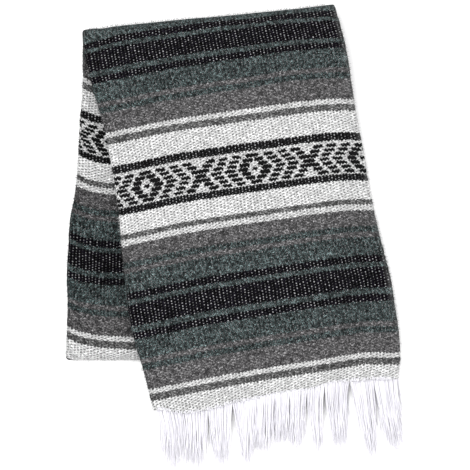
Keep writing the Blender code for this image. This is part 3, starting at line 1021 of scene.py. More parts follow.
def diamond_group(chart: DiamondChart) -> bpy.types.NodeTree:
    """Group that draws the diamond band's dark floats.

    Args:
        chart: The charted repeat.

    Returns:
        Group from a place across and from the band's middle to the mask of the floats.
    """
    group = Group("diamonds", {"Across": VALUE, "Middle": VALUE, "Centre": VALUE}, {"Floats": VALUE})
    graph = group.graph
    across = group.inputs["Across"]
    middle = graph.minus(group.inputs["Middle"], chart.drop)
    place = graph.vector(across, middle)
    row = graph.math("ROUND", graph.over(middle, chart.row_pitch))
    shake = graph.noise(graph.vector(across, row), chart.shake_scale, 1.0, seed=4.0)
    moved = graph.stray(graph.minus(across, group.inputs["Centre"]), chart.shake, shake)
    share = graph.over(graph.math("PINGPONG", moved, chart.pitch / 2), chart.pitch / 2)
    level = graph.math("ABSOLUTE", row)
    value = graph.ramp(share, dash_stops(chart.rows[0], chart), False)
    for index, dashes in enumerate(chart.rows[1:], start=1):
        past = graph.math("GREATER_THAN", level, index - 0.5)
        value = graph.blend(past, value, graph.ramp(share, dash_stops(dashes, chart), False))
    inside = graph.math("LESS_THAN", level, len(chart.rows) - 0.5)
    lie = graph.stray(middle, chart.wave, graph.noise(place, chart.wave_scale, 1.0, seed=5.0))
    off = graph.minus(lie, graph.times(row, chart.row_pitch))
    bow = graph.times(graph.bow(off, chart.half_height), chart.bow)
    ragged = graph.noise(place, chart.fray_scale, 2.0, seed=6.0)
    edge = graph.stray(graph.minus(value, bow), chart.fray, ragged)
    group.give(Floats=graph.times(graph.span(edge, *chart.edge), inside))
    return group.tree


def wool_group() -> bpy.types.NodeTree:
    """Group that varies a yarn's tone by fibre, by tuft, in wide clouds and in specks, and darkens it with
    painted shade where it sags.

    Returns:
        Group from a place and a colour to the varied colour and the fibre height.
    """
    feeds = {"Place": VECTOR, "Colour": COLOUR, "Depth": VALUE, "Sag": VALUE}
    group = Group("wool", feeds, {"Colour": COLOUR, "Fibre": VALUE})
    graph = group.graph
    place = group.inputs["Place"]
    x, y, _ = graph.parts(place)
    fibre = graph.noise(graph.vector(graph.times(x, WOOL.drawn), y), WOOL.fibre_scale, 1.0, seed=7.0)
    tuft = graph.noise(place, WOOL.tuft_scale, 2.0, seed=8.0)
    cloud = graph.noise(place, WOOL.cloud_scale, 2.0, seed=9.0)
    skew = graph.noise(place, WOOL.skew_scale, 1.0, seed=13.0)
    cells = []
    for at, bend in ((x, fibre), (y, skew)):
        moved = graph.times_plus(bend, WOOL.speck_stray, graph.over(at, WOOL.speck_size))
        cells.append(graph.math("FLOOR", moved))
    tone = graph.times(fibre, WOOL.fibre)
    causes = (
        (tuft, WOOL.tuft),
        (cloud, WOOL.cloud),
        (graph.chance(*cells, 1.0), WOOL.speck),
        # Painted shade where the yarn sags
        (group.inputs["Sag"], WOOL.sag),
    )
    for cause, share in causes:
        tone = graph.times_plus(cause, share, tone)
    swing = graph.times(graph.minus(tone, WOOL.middle), group.inputs["Depth"])
    gain = graph.power(2.0, swing)
    scaled = graph.add("ShaderNodeVectorMath", {0: group.inputs["Colour"], "Scale": gain}, operation="SCALE")
    group.give(Colour=scaled.outputs[0], Fibre=fibre)
    return group.tree


@dataclass(frozen=True)
class ClothFinish:
    """The woven cloth of one piece: where its diamonds are centred, and how its light falls."""

    name: str
    diamond_centre: float
    last_stripe: float = HEM_PLACE
    roughness: float = 0.94
    sheen: float = 0.012
    sheen_roughness: float = 0.5
    relief: float = 0.7 * MM
    warp: Colour = (0.42, 0.42, 0.43, 1.0)
    float_yarn: Colour = (0.0058, 0.0058, 0.0060, 1.0)
    # Gamma of painted shade: darkens the colours of a run that lies lower, in more shade
    painted_shade_gamma: float = 1.0
    dot_reading: tuple[float, float, float, float] = (0.1, 0.85, 0.15, 1.15)
    # Painted shade in the pits between picks: where fibres thin it, its share and its grey
    pit_shade_fibres: tuple[float, float, float, float] = (0.50, 0.66, 1.0, 0.0)
    pit_shade_share: float = 0.95
    pit_shade_tone: float = 0.07
    rim: float = 0.55
    rim_reach: float = 6.0
    rim_tone: float = 0.075
    rim_grain: float = 4.0
    fibre_height: float = 0.8
    specular: float = 0.02


@dataclass(frozen=True)
class YarnLook:
    """Loose white warp yarn of the fringe."""

    name: str = "fringe_yarn"
    colour: Colour = (0.74, 0.73, 0.775, 1.0)
    shade: Colour = (0.70, 0.69, 0.735, 1.0)
    roughness: float = 0.85
    sheen: float = 0.3
    relief: float = 0.25 * MM
    strength: float = 0.3
    specular: float = 0.1
    drawn: float = 0.12
    strand_scale: float = 700.0
    tuft_scale: float = 60.0
    tuft_share: float = 0.5
    bright: tuple[float, float] = (0.55, 0.95)


@dataclass(frozen=True)
class FloorLook:
    """The plain surface that the serape lies on."""

    name: str = "pale_floor"
    tone: float = 0.97
    roughness: float = 0.9
    specular: float = 0.1


class Finishes:
    """The materials of the serape, over shared node groups."""

    def __init__(self) -> None:
        """Builds the shared groups once."""
        self.chart = DiamondChart()
        self.weave = weave_group()
        self.stripes = stripe_group()
        self.diamonds = diamond_group(self.chart)
        self.wool = wool_group()

    def new(self, name: str) -> tuple[bpy.types.Material, Graph, bpy.types.Node]:
        """Makes an empty material.

        Args:
            name: Name of the material.

        Returns:
            The material, its graph and its Principled shader.
        """
        made = bpy.data.materials.new(name)
        made.use_nodes = True
        shader = made.node_tree.nodes["Principled BSDF"]
        return made, Graph(made.node_tree), shader

    def cloth(self, finish: ClothFinish) -> bpy.types.Material:
        """Striped weave with warp dots, painted shade in the pits between picks, and the diamond band.

        Args:
            finish: The cloth's finish.

        Returns:
            The material.
        """
        made, graph, shader = self.new(finish.name)
        place = graph.add("ShaderNodeUVMap", uv_map=CLOTH_MAP).outputs[0]
        place = graph.add("ShaderNodeVectorMath", {0: place, "Scale": 1.0 / MM}, operation="SCALE").outputs[0]
        weave = graph.use(self.weave, {"Place": place}).outputs
        along = graph.math("MINIMUM", weave["Along"], finish.last_stripe)
        stripes = graph.use(self.stripes, {"Along": along}).outputs
        feeds = {"Across": weave["Across"], "Middle": stripes["Middle"], "Centre": finish.diamond_centre}
        floats = graph.use(self.diamonds, feeds).outputs[0]
        floats = graph.times(floats, stripes["Diamond"])
        weft = graph.tint(floats, stripes["Weft"], finish.float_yarn)
        # The sag mask darkens the yarn as painted shade
        feeds = {"Place": place, "Colour": weft, "Depth": stripes["Grain"], "Sag": weave["Sag"]}
        wool = graph.use(self.wool, feeds).outputs

        seen = graph.span(weave["Cell"], *finish.dot_reading)
        dots = graph.times(weave["Dots"], graph.times(stripes["Dot Share"], seen))
        colour = graph.tint(dots, wool["Colour"], finish.warp)
        # Painted shade: darkens the pits between picks towards a grey
        pit_shade = graph.times(weave["Pits"], stripes["Pit Share"])
        thinned = graph.span(wool["Fibre"], *finish.pit_shade_fibres)
        for hold in (graph.minus(1.0, floats), thinned, finish.pit_shade_share):
            pit_shade = graph.times(pit_shade, hold)
        colour = graph.tint(pit_shade, colour, grey(finish.pit_shade_tone))
        # Painted shade: a gamma that darkens the back run's colours for the shade it lies in
        colour = graph.add("ShaderNodeGamma", {"Color": colour, "Gamma": finish.painted_shade_gamma}).outputs[0]
        edge = STACK.width / MM - STACK.right_radius / MM * RIM_TURN
        rim = graph.span(graph.parts(place)[0], edge - finish.rim_reach, edge, 0.0, finish.rim)
        rim = graph.times(rim, graph.minus(1.0, stripes["Pit Share"]))
        feeds = {"Place": place, "Colour": grey(finish.rim_tone), "Depth": finish.rim_grain}
        colour = graph.tint(rim, colour, graph.use(self.wool, feeds).outputs[0])
        height = graph.times_plus(wool["Fibre"], finish.fibre_height, weave["Height"])
        bump = {"Height": height, "Distance": finish.relief, "Strength": 1.0}
        graph.feed(shader.inputs["Base Color"], colour)
        graph.feed(shader.inputs["Normal"], graph.add("ShaderNodeBump", bump).outputs[0])
        shader.inputs["Roughness"].default_value = finish.roughness
        shader.inputs["Sheen Weight"].default_value = finish.sheen
        shader.inputs["Sheen Roughness"].default_value = finish.sheen_roughness
        shader.inputs["Specular IOR Level"].default_value = finish.specular
        return made

    def yarn(self, look: YarnLook) -> bpy.types.Material:
        """Loose white yarn with darker fibres."""
        made, graph, shader = self.new(look.name)
        place = graph.add("ShaderNodeTexCoord").outputs["Object"]
        x, y, z = graph.parts(place)
        drawn = graph.vector(x, graph.times(y, look.drawn), z)
        strand = graph.noise(drawn, look.strand_scale, 2.0, seed=10.0)
        tuft = graph.noise(place, look.tuft_scale, 2.0, seed=11.0)
        mixed = graph.times_plus(tuft, look.tuft_share, strand)
        colour = graph.tint(graph.span(mixed, *look.bright), look.shade, look.colour)
        bump = {"Height": strand, "Distance": look.relief, "Strength": look.strength}
        graph.feed(shader.inputs["Base Color"], colour)
        graph.feed(shader.inputs["Normal"], graph.add("ShaderNodeBump", bump).outputs[0])
        shader.inputs["Roughness"].default_value = look.roughness
        shader.inputs["Sheen Weight"].default_value = look.sheen
        shader.inputs["Specular IOR Level"].default_value = look.specular
        return made

    def floor(self, look: FloorLook) -> bpy.types.Material:
        """Plain pale floor."""
        made, _, shader = self.new(look.name)
        shader.inputs["Base Color"].default_value = grey(look.tone)
        shader.inputs["Roughness"].default_value = look.roughness
        shader.inputs["Specular IOR Level"].default_value = look.specular
        return made


def join(whole: Body, part: Body) -> None:
    """Adds a finished part to a body."""
    mesh = bpy.data.meshes.new("part")
    part.to_mesh(mesh)
    part.free()
    whole.from_mesh(mesh)
    bpy.data.meshes.remove(mesh)


def add_object(name: str, body: Body, material: bpy.types.Material) -> bpy.types.Object:
    """Puts a finished body in the scene.

    Args:
        name: Name of the piece.
        body: Its shape, in place.
        material: Its material.

    Returns:
        The object.
    """
    mesh = bpy.data.meshes.new(name)
    body.to_mesh(mesh)
    body.free()
    mesh.materials.append(material)
    mesh.shade_smooth()
    piece = bpy.data.objects.new(name, mesh)
    bpy.context.scene.collection.objects.link(piece)
    return piece


def lay_grid(lines: Sequence[Line]) -> Body:
    """Lays a grid of cloth along lines across the runs, with its own places as a UV map.

    Args:
        lines: Stations in order, each with its columns, the same number on every line.

    Returns:
        The sheet as an open mesh.
    """
    sheet = bmesh.new()
    across, along = len(lines[0][1]) - 1, len(lines) - 1
    bmesh.ops.create_grid(sheet, x_segments=across, y_segments=along, size=0.5)
    places = {}
    for vert in sheet.verts:
        station, columns = lines[round((vert.co.y + 0.5) * along)]
        column = columns[round((vert.co.x + 0.5) * across)]
        places[vert] = (column.cloth * MM, station.pattern(column) * MM)
        vert.co = settle(RUNS.place(station, column))
    layer = sheet.loops.layers.uv.new(CLOTH_MAP)
    for face in sheet.faces:
        for loop in face.loops:
            loop[layer].uv = places[loop.vert]
    return sheet


def draw_strand(
    body: Body, points: Sequence[Vector], radii: tuple[float, float], sides: int
) -> list[bmesh.types.BMVert]:
    """Adds one yarn or fibre as a tapering tube.

    Args:
        body: Mesh that it is added to.
        points: Its course.
        radii: Radius at its root and at its tip.
        sides: Number of its sides.

    Returns:
        The vertices of the tube, still open along its seam and at both ends.
    """
    last = len(points) - 1
    made = bmesh.ops.create_grid(body, x_segments=sides, y_segments=last, size=0.5)
    frames = []
    for index, point in enumerate(points):
        along = points[min(index + 1, last)] - points[max(index - 1, 0)]
        side = along.cross(STRAND_UP).normalized()
        radius = between(*radii, index / last)
        radius *= TIP_SHRINK if index == last else 1.0
        frames.append((point, side * radius, side.cross(along).normalized() * radius))
    for vert in made["verts"]:
        point, side, up = frames[round((vert.co.y + 0.5) * last)]
        angle = (vert.co.x + 0.5 + 0.5 / sides) * math.tau
        vert.co = point + side * math.cos(angle) + up * math.sin(angle)
    return made["verts"]


def close_grid(sheet: Body) -> None:
    """Closes laid grids whose last column is their first: welds the seams and fills the ends.

    Args:
        sheet: The open mesh, changed in place.
    """
    bmesh.ops.remove_doubles(sheet, verts=sheet.verts, dist=WELD)
    rims = [edge for edge in sheet.edges if edge.is_boundary]
    bmesh.ops.holes_fill(sheet, edges=rims, sides=0)
    bmesh.ops.recalc_face_normals(sheet, faces=sheet.faces)


def blend_columns(first: Sequence[Column], last: Sequence[Column], share: float) -> list[Column]:
    """Columns between two like sections.

    Args:
        first: Columns at share 0.
        last: Columns at share 1.
        share: How far between them.

    Returns:
        The columns, with the places in the cloth of the first.
    """
    mixed = []
    for near, far in zip(first, last):
        inset, height = between(near.inset, far.inset, share), between(near.height, far.height, share)
        mixed.append(replace(near, inset=inset, height=height))
    return mixed


def uneven_edge(columns: Sequence[Column], along: float, layer: float = 0.0) -> list[Column]:
    """Columns again, with the uneven edges of hand-beaten cloth.

    Args:
        columns: Columns of one line.
        along: Metres down the run.
        layer: Tells one edge from another.

    Returns:
        The columns, each moved in or out by up to a millimetre near the edges of the run.
    """
    moved = []
    for column in columns:
        away = abs(column.inset) if column.share in (0.0, 1.0) else EDGE_HOLD
        hold = 1.0 - smooth(away / EDGE_HOLD)
        seed = column.share * 31.0 + layer
        slow = noise.noise(Vector((along / SLOW_PITCH, seed, 0.5)))
        quick = noise.noise(Vector((along / QUICK_PITCH, seed, 7.5)))
        reach = (slow * SLOW_EDGE + quick * QUICK_EDGE - EDGE_LOSS) * MM
        moved.append(replace(column, inset=column.inset + inwards(column.share) * hold * reach))
    return moved


@dataclass
class WovenSheet:
    """A sheet of woven cloth on the form of one panel."""

    name: str
    node: str
    slot: str
    lines: list[Line]
    thickness: float = STACK.ply - 0.05 * MM

    @property
    def cut(self) -> tuple[float, float]:
        """Width and length of the flat cloth in metres, measured round the section and down its middle."""
        columns = self.lines[0][1]
        middle = len(columns) // 2
        course = [RUNS.place(station, line[middle]) for station, line in self.lines]
        width = (columns[-1].cloth - columns[0].cloth) * MM
        return width, sum(math.dist(a, b) for a, b in zip(course, course[1:]))

    def build(self, material: bpy.types.Material) -> bpy.types.Object:
        """Makes the sheet, with its wall on the inner side.

        Args:
            material: The cloth's material.

        Returns:
            The piece.
        """
        piece = add_object(self.name, lay_grid(self.lines), material)
        wall = piece.modifiers.new("wall", "SOLIDIFY")
        wall.thickness = self.thickness
        wall.offset = -1.0
        wall.use_even_offset = True
        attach(piece, "root")
        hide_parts(self.node)
        return piece


@dataclass
class FrontRun:
    """The outer ply of the front run, from its hem over the top fold to the underside."""

    across: int = 128
    along: int = 190
    fold_steps: int = 26
    under_steps: int = 6
    cut: tuple[float, float] = (0.0, 0.0)

    def build(self, finishes: Finishes) -> bpy.types.Object:
        """Builds and dresses the sheet."""
        axis = STACK.axis_inset
        over = wrapped_ply(STACK.front_outer, self.across)
        under = wrapped_ply(STACK.fold_plane, self.across)
        lines: list[Line] = []
        for along in spread(FRONT_LEFT.length, axis, self.along):
            lines.append((RUNS.front(along), uneven_edge(over, along)))
        for angle in spread(0.0, math.pi, self.fold_steps)[1:]:
            lines.append((RUNS.top_fold(angle), blend_columns(over, under, angle / math.pi)))
        for along in spread(axis, axis + STACK.seam_past_fold, self.under_steps)[1:]:
            lines.append((RUNS.back(along, STACK.fold_plane, -1.0), under))
        sheet = WovenSheet("front_cloth", "front_panel", "front_cloth", lines)
        self.cut = sheet.cut
        return sheet.build(finishes.cloth(ClothFinish("front_weave", finishes.chart.centre)))


@dataclass
class BackRun:
    """The outer ply of the back run: its upper side, the bottom fold and the flat underside."""

    across: int = 110
    along: int = 120
    fold_steps: int = 14
    wrap_start: float = 2.0 * MM
    cut: tuple[float, float] = (0.0, 0.0)

    def build(self, finishes: Finishes) -> bpy.types.Object:
        """Builds and dresses the sheet."""
        start = STACK.axis_inset + STACK.seam_past_fold + STACK.gap
        end, level = RUNS.end_axis, STACK.end_plane
        columns = wrapped_ply(STACK.end_plane, self.across)
        run = spread(start, end, self.along)
        lines: list[Line] = []
        for along in spread(STACK.axis_inset + self.wrap_start, end, self.along):
            lines.append((RUNS.back(along, level, 1.0), uneven_edge(columns, along, 3.0)))
        for angle in spread(0.0, math.pi, self.fold_steps)[1:]:
            lines.append((RUNS.bottom_fold(angle), columns))
        lines += [(RUNS.back(along, level, -1.0), columns) for along in run[-2::-1]]
        sheet = WovenSheet("back_cloth", "back_panel", "back_cloth", lines[::-1])
        self.cut = sheet.cut
        # The back run's weave is darkened by a gamma, as painted shade
        return sheet.build(finishes.cloth(ClothFinish("back_weave", 37.0, NO_HEM, painted_shade_gamma=1.1)))


@dataclass(frozen=True)
class Core:
    """Section of the hidden layers: levels of its top, of its notch and of the fold at the right."""

    outer: float
    notch: float
    fold_top: float
    fold_wrapped: bool


@dataclass
class InnerPlies:
    """The plies inside both runs, rounded at the left and layered at their edges on the right."""

    across: int = 28
    along: int = 170
    fold_steps: int = 20
    step_lines: int = 6
    clear: float = 1.2 * MM
    lobe_turns: tuple[float, ...] = (30.0, 60.0)
    edge_spacing: float = 5.0
    selvedges: tuple[float, ...] = (2.8 * MM, 5.2 * MM, 3.6 * MM, 3.2 * MM)
    groove: float = 3.6 * MM
    lobe_inset: float = 9.4 * MM
    lobe_height: float = 0.9

    def selvedge(self, index: int, low: float) -> list[Column]:
        """Rounded edge of one hidden ply, and the groove under it.

        Args:
            index: Which ply, from the innermost outwards.
            low: Level of its underside.

        Returns:
            Columns from its underside up.
        """
        inset, radius = self.selvedges[index], STACK.ply / 2
        columns = arc(1.0, inset + radius, low + radius, radius, (180, 0, 6))
        if index:
            columns.insert(0, Column(1.0, -inset - self.groove, low - STACK.gap / 2))
        return columns

    def section(self, core: Core) -> list[Column]:
        """Section of the hidden layers, from the top right round by the left.

        Args:
            core: Levels of the section.

        Returns:
            Columns of a closed section, with the first one again at the end.
        """
        left, right = STACK.left_radius, STACK.right_radius
        radius = left - STACK.pitch
        notch_inset = left + STACK.left_return + STACK.gap
        step_inset = right + STACK.right_return + STACK.gap
        bulge = (core.notch - STACK.inner) / 2
        columns = level_columns(core.outer, self.across)[::-1]
        columns += arc(0.0, left, core.outer - radius, radius, (0, 180, 8))[1:]
        columns.append(Column(0.0, notch_inset, core.outer - 2 * radius))
        columns.append(Column(0.0, notch_inset, core.notch))
        columns += arc(0.0, left, STACK.inner + bulge, bulge, (0, 180, 10))
        columns += level_columns(STACK.inner, self.across)[1:]
        fold = (core.fold_top - STACK.inner) / 2
        turned = arc(1.0, right, STACK.inner + fold, fold, (180, 0, 8))[1:]
        if core.fold_wrapped:
            turned = [Column(1.0, -step_inset, column.height) for column in turned]
        columns += turned
        for index in range(len(self.selvedges)):
            columns += self.selvedge(index, core.fold_top + STACK.gap + index * STACK.pitch)
        columns.append(Column(1.0, -step_inset, core.outer - STACK.gap))
        columns.append(Column(1.0, -step_inset, core.outer - STACK.gap / 2))
        return with_cloth([*columns, columns[0]], 0.0)

    def upper_end(self, core: Core) -> list[Column]:
        """Section of the upper strip alone, whose hem lies further out."""
        whole = self.section(core)
        floor = core.notch + STACK.gap / 2
        upper = [column for column in whole if column.height > floor]
        first = max(index for index, column in enumerate(upper) if column.share == 0.0) + 1
        inset = STACK.left_radius + STACK.left_return + STACK.gap
        below = [Column(0.0, inset, floor, 0.0), Column(1.0, -inset, floor, 0.0)]
        return [*upper[:first], *below, *upper[first:]]

    def ragged(self, columns: Sequence[Column], along: float) -> list[Column]:
        """Columns again, each hidden ply's edge with its own unevenness."""
        moved = []
        for column in columns:
            layer = math.floor(column.height / STACK.pitch)
            moved += uneven_edge([column], along, layer * self.edge_spacing)
        return moved

    def lobe(self, columns: Sequence[Column], angle: float) -> Line:
        """Line of the rounded end inside the bottom fold."""
        middle = STACK.fold_plane - STACK.end_plane
        reach = (STACK.end_plane - 2 * STACK.ply) * math.sin(angle) * STACK.bend_depth
        moved = []
        for column in columns:
            inset = inwards(column.share) * self.lobe_inset if column.share in (0.0, 1.0) else 0.0
            height = middle + (column.height - middle) * math.cos(angle) * self.lobe_height
            moved.append(replace(column, inset=inset, height=height))
        return RUNS.back(RUNS.end_axis + reach, STACK.fold_plane, -1.0), moved

    def build(self, finishes: Finishes) -> bpy.types.Object:
        """Builds and dresses the layers."""
        inner, outer, end = STACK.inner, STACK.front_outer, STACK.fold_plane
        top = inner + STACK.pair
        upper = Core(outer - STACK.pitch, outer - STACK.strip_pitch, top, False)
        front = self.section(upper)
        turned = self.section(Core(end - STACK.pitch, end - STACK.strip_pitch, top - STACK.pitch, False))
        notch = end - STACK.strip_pitch - STACK.pitch
        back = self.section(Core(end - STACK.pitch, notch, top - STACK.pitch, True))
        hem = FRONT_LEFT.length - STACK.hem_strip - STACK.gap
        under_hem = hem - STACK.hem_stagger
        axis = STACK.axis_inset
        lines: list[Line] = []
        for along in spread(under_hem, axis, self.along):
            lines.append((RUNS.front(along), self.ragged(front, along)))
        for angle in spread(0.0, math.pi, self.fold_steps)[1:]:
            lines.append((RUNS.top_fold(angle), blend_columns(front, turned, angle / math.pi)))
        for along in spread(axis + self.clear, RUNS.end_axis, self.along // 3):
            lines.append((RUNS.back(along, STACK.fold_plane, -1.0), self.ragged(back, along)))
        lines += [self.lobe(back, math.radians(degrees)) for degrees in self.lobe_turns]
        past_hem = self.upper_end(upper)
        steps = spread(hem, under_hem, self.step_lines)
        body = lay_grid(lines)
        step = lay_grid([(RUNS.front(along), self.ragged(past_hem, along)) for along in steps])
        for grid in (body, step):
            close_grid(grid)
        join(body, step)
        piece = add_object("inner_plies", body, finishes.cloth(ClothFinish("inner_weave", 0.0)))
        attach(piece, "root")
        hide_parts("hidden_layers")
        return piece


@dataclass(frozen=True)
class Tassel:
    """One loose tassel: its root and end along the hem as shares, and how it falls, in mm."""

    across: float
    end: float
    drift: float
    length: float
    spread: float


TASSELS = (
    Tassel(0.067, 0.115, 2.0, 79.0, 30.0),
    Tassel(0.165, 0.215, 1.0, 79.0, 29.0),
    Tassel(0.262, 0.318, 4.0, 81.0, 21.0),
    Tassel(0.372, 0.420, 3.0, 86.0, 16.0),
    Tassel(0.460, 0.495, -4.0, 79.0, 26.0),
    Tassel(0.526, 0.560, 0.0, 69.0, 20.0),
    Tassel(0.593, 0.630, -1.0, 78.0, 20.0),
    Tassel(0.661, 0.702, 6.0, 85.0, 12.0),
    Tassel(0.746, 0.805, 9.0, 89.0, 22.0),
    Tassel(0.858, 0.902, 15.0, 104.0, 18.0),
    Tassel(0.952, 1.000, 19.0, 98.0, 26.0),
)


@dataclass(frozen=True)
class Levels:
    """Lowest and highest yarn of a fringe, in mm, at the root, where it gathers, and at its tip."""

    root: tuple[float, float]
    gathered: tuple[float, float]
    tip: tuple[float, float]


@dataclass
class Fringe:
    """Warp yarns drawn from a hem in loose tassels, and the ply ends that they leave."""

    name: str
    node: str
    hem: float
    strip: tuple[float, float]
    plies: int
    levels: Levels
    shorter: float
    yarns: int
    seed: int
    sides: int = 4
    steps: int = 12
    root_radius: float = 0.78 * MM
    tip_radius: float = 0.34 * MM
    root_share: float = 1.0
    gather_share: float = 0.84
    gather_at: float = 0.30
    tuck: float = 4.0 * MM
    wave: float = 2.0 * MM
    edge_short: float = 0.16
    stray_short: float = 0.34
    uneven: float = 0.03
    obedient: float = 0.85
    loose: float = 0.12
    taper_power: float = 1.6
    unruly: tuple[float, float] = (0.5, 1.5)
    turns: tuple[float, float] = (0.6, 1.6)
    swings: tuple[float, float] = (0.2, 1.0)
    fan_start: float = 0.7
    fall_end: float = 1.4
    layer_power: float = 0.45
    thrum_radii: tuple[float, float] = (0.42 * MM, 0.25 * MM)
    thrum_shares: tuple[float, float] = (0.005, 0.995)
    thrum_drift: float = 1.6 * MM
    thrum_back: tuple[float, float] = (1.0 * MM, 4.5 * MM)
    thrum_out: tuple[float, float] = (0.4 * MM, 3.0 * MM)
    thrum_rise: tuple[float, float, float] = (0.1 * MM, 0.5 * MM, -0.2 * MM)
    thrum_crest: float = 0.4
    thrum_fall: float = 0.3
    rag: float = 0.7 * MM
    rag_loss: float = 0.4 * MM
    rag_pitch: float = 90.0
    end_steps: int = 6
    strip_steps: int = 80
    thrums: int = 0
    rng: random.Random = field(default_factory=random.Random)

    def on_hem(self, share: float, height: float, depth: float) -> Vector:
        """Point of the hem strip, depth metres out from its inner line."""
        inset = inwards(share) * edge_radius(share) * (1.0 - min(share, 1.0 - share) * 2.0)
        return RUNS.place(RUNS.front(self.hem + depth), Column(share, inset, height))

    def ply_end(self, body: Body, low: float) -> None:
        """Adds the rounded end of one ply along the hem.

        Args:
            body: Mesh that it is added to.
            low: Height of its underside in the section.
        """
        depth, radius = STACK.hem_strip, STACK.ply / 2
        outline = [(0.0, 0.0), (depth - radius, 0.0)]
        for angle in spread(0.0, math.pi, self.end_steps)[1:-1]:
            outline.append((depth - radius + radius * math.sin(angle), radius - radius * math.cos(angle)))
        outline += [(depth - radius, 2 * radius), (0.0, 2 * radius), (0.0, 0.0)]
        made = bmesh.ops.create_grid(body, x_segments=self.strip_steps, y_segments=len(outline) - 1, size=0.5)
        for vert in made["verts"]:
            out, up = outline[round((vert.co.y + 0.5) * (len(outline) - 1))]
            share = vert.co.x + 0.5
            ragged = noise.noise(Vector((share * self.rag_pitch, low / MM, 2.5))) * self.rag - self.rag_loss
            vert.co = self.on_hem(share, low + up, out + (ragged if out > 0.0 else 0.0))

    def path(self, tassel: Tassel, start: float, place: float, layer: float) -> list[Vector]:
        """Course of one yarn from inside the hem to its tip.

        Args:
            tassel: The tassel that it belongs to.
            start: Share of the hem at which the tassel begins.
            place: Its place across the tassel, -1 to 1.
            layer: Its place from the lowest yarn, 0, to the highest, 1.

        Returns:
            Points along the yarn.
        """
        rng = self.rng
        middle, half = (start + tassel.end) / 2, (tassel.end - start) / 2 * self.root_share
        height = between(*self.levels.root, layer) * MM
        root = self.on_hem(middle + half * place, height, STACK.hem_strip - self.tuck)
        origin = self.on_hem(tassel.across, self.levels.root[0] * MM, STACK.hem_strip)
        taper = 1.0 - self.edge_short * abs(place) ** self.taper_power - self.stray_short * rng.random() ** 2
        taper += rng.uniform(-self.uneven, self.uneven)
        course = Vector((tassel.drift * MM, self.shorter - tassel.length * MM)) * taper
        side = Vector((-course.y, course.x)).normalized()
        fan = place * (1.0 if rng.random() < self.obedient else rng.uniform(*self.unruly))
        fan += rng.uniform(-self.loose, self.loose)
        tip_offset = fan * tassel.spread * MM / 2
        phase, turns = rng.uniform(0.0, math.tau), rng.uniform(*self.turns)
        swing = self.wave * rng.uniform(*self.swings)
        gathered, tip = between(*self.levels.gathered, layer), between(*self.levels.tip, rng.random())
        fan_start = self.gather_at * self.fan_start
        points = [root]
        for share in spread(0.0, 1.0, self.steps)[1:]:
            draw = smooth(share / self.gather_at)
            fan_out = smooth((share - fan_start) / (1.0 - fan_start))
            gather = place * half * STACK.width * self.gather_share / self.root_share
            offset = between(gather, tip_offset, fan_out)
            offset += swing * math.sin(phase + turns * math.tau * share) * share
            spine = origin.xy + course * share + side * offset
            fall = root.xy + course * share
            plan = fall.lerp(spine, draw)
            drop = smooth(share / (self.gather_at * self.fall_end))
            level = between(root.z, gathered * MM, drop)
            level += (tip - gathered) * MM * smooth((share - self.gather_at) / (1.0 - self.gather_at))
            points.append(Vector((plan.x, plan.y, level)))
        return points

    def thrum(self) -> list[Vector]:
        """Course of a short yarn end that lies over the hem's edge."""
        rng = self.rng
        share, drift = rng.uniform(*self.thrum_shares), rng.uniform(-self.thrum_drift, self.thrum_drift)
        back, out = rng.uniform(*self.thrum_back), rng.uniform(*self.thrum_out)
        start, crest, end = (self.strip[1] + rise for rise in self.thrum_rise)
        depth, drifted = STACK.hem_strip, share + drift / STACK.width
        return [
            self.on_hem(share, start, depth - back),
            self.on_hem((share + drifted) / 2, crest, depth - back * self.thrum_crest),
            self.on_hem(drifted, end - out * self.thrum_fall, depth + out),
        ]

    def build(self, material: bpy.types.Material) -> bpy.types.Object:
        """Builds the ply ends and the yarns as one joined mesh.

        Args:
            material: The yarn's material.

        Returns:
            The piece.
        """
        self.rng.seed(self.seed)
        body = bmesh.new()
        for index in range(self.plies):
            self.ply_end(body, self.strip[0] + index * STACK.pitch)
        start = 0.0
        for tassel in TASSELS:
            for index in range(self.yarns):
                place = 2.0 * (index + self.rng.uniform(0.1, 0.9)) / self.yarns - 1.0
                course = self.path(tassel, start, place, self.rng.random() ** self.layer_power)
                draw_strand(body, course, (self.root_radius, self.tip_radius), self.sides)
            start = tassel.end
        for _ in range(self.thrums):
            draw_strand(body, self.thrum(), self.thrum_radii, self.sides)
        close_grid(body)
        piece = add_object(self.name, body, material)
        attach(piece, "root")
        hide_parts(self.node)
        return piece


def front_fringe() -> Fringe:
    """Fringe of the upper strip's hem."""
    outer = STACK.front_outer
    return Fringe(
        name="front_tassels",
        node="front_fringe",
        hem=FRONT_LEFT.length - STACK.hem_strip,
        strip=(outer - STACK.strip, outer),
        plies=3,
        levels=Levels(((outer - STACK.strip) / MM + 0.8, outer / MM - 0.8), (5.6, 10.4), (1.0, 5.6)),
        shorter=0.0,
        thrums=520,
        yarns=76,
        seed=SEED,
    )


def lower_fringe() -> Fringe:
    """Fringe of the lower strip's hem, under the first and further in."""
    inner = STACK.inner
    return Fringe(
        name="lower_tassels",
        node="lower_fringe",
        hem=FRONT_LEFT.length - STACK.hem_strip - STACK.hem_stagger,
        strip=(inner, inner + STACK.strip),
        plies=4,
        levels=Levels((inner / MM + 0.8, (inner + STACK.strip) / MM - 2.4), (0.9, 2.8), (0.6, 2.0)),
        shorter=10.0 * MM,
        yarns=28,
        seed=SEED + 1,
    )


@dataclass(frozen=True)
class Root:
    """Where a loose fibre leaves the cloth, which way it points, and its place in the cloth."""

    point: Vector
    out: Vector
    place: tuple[float, float]


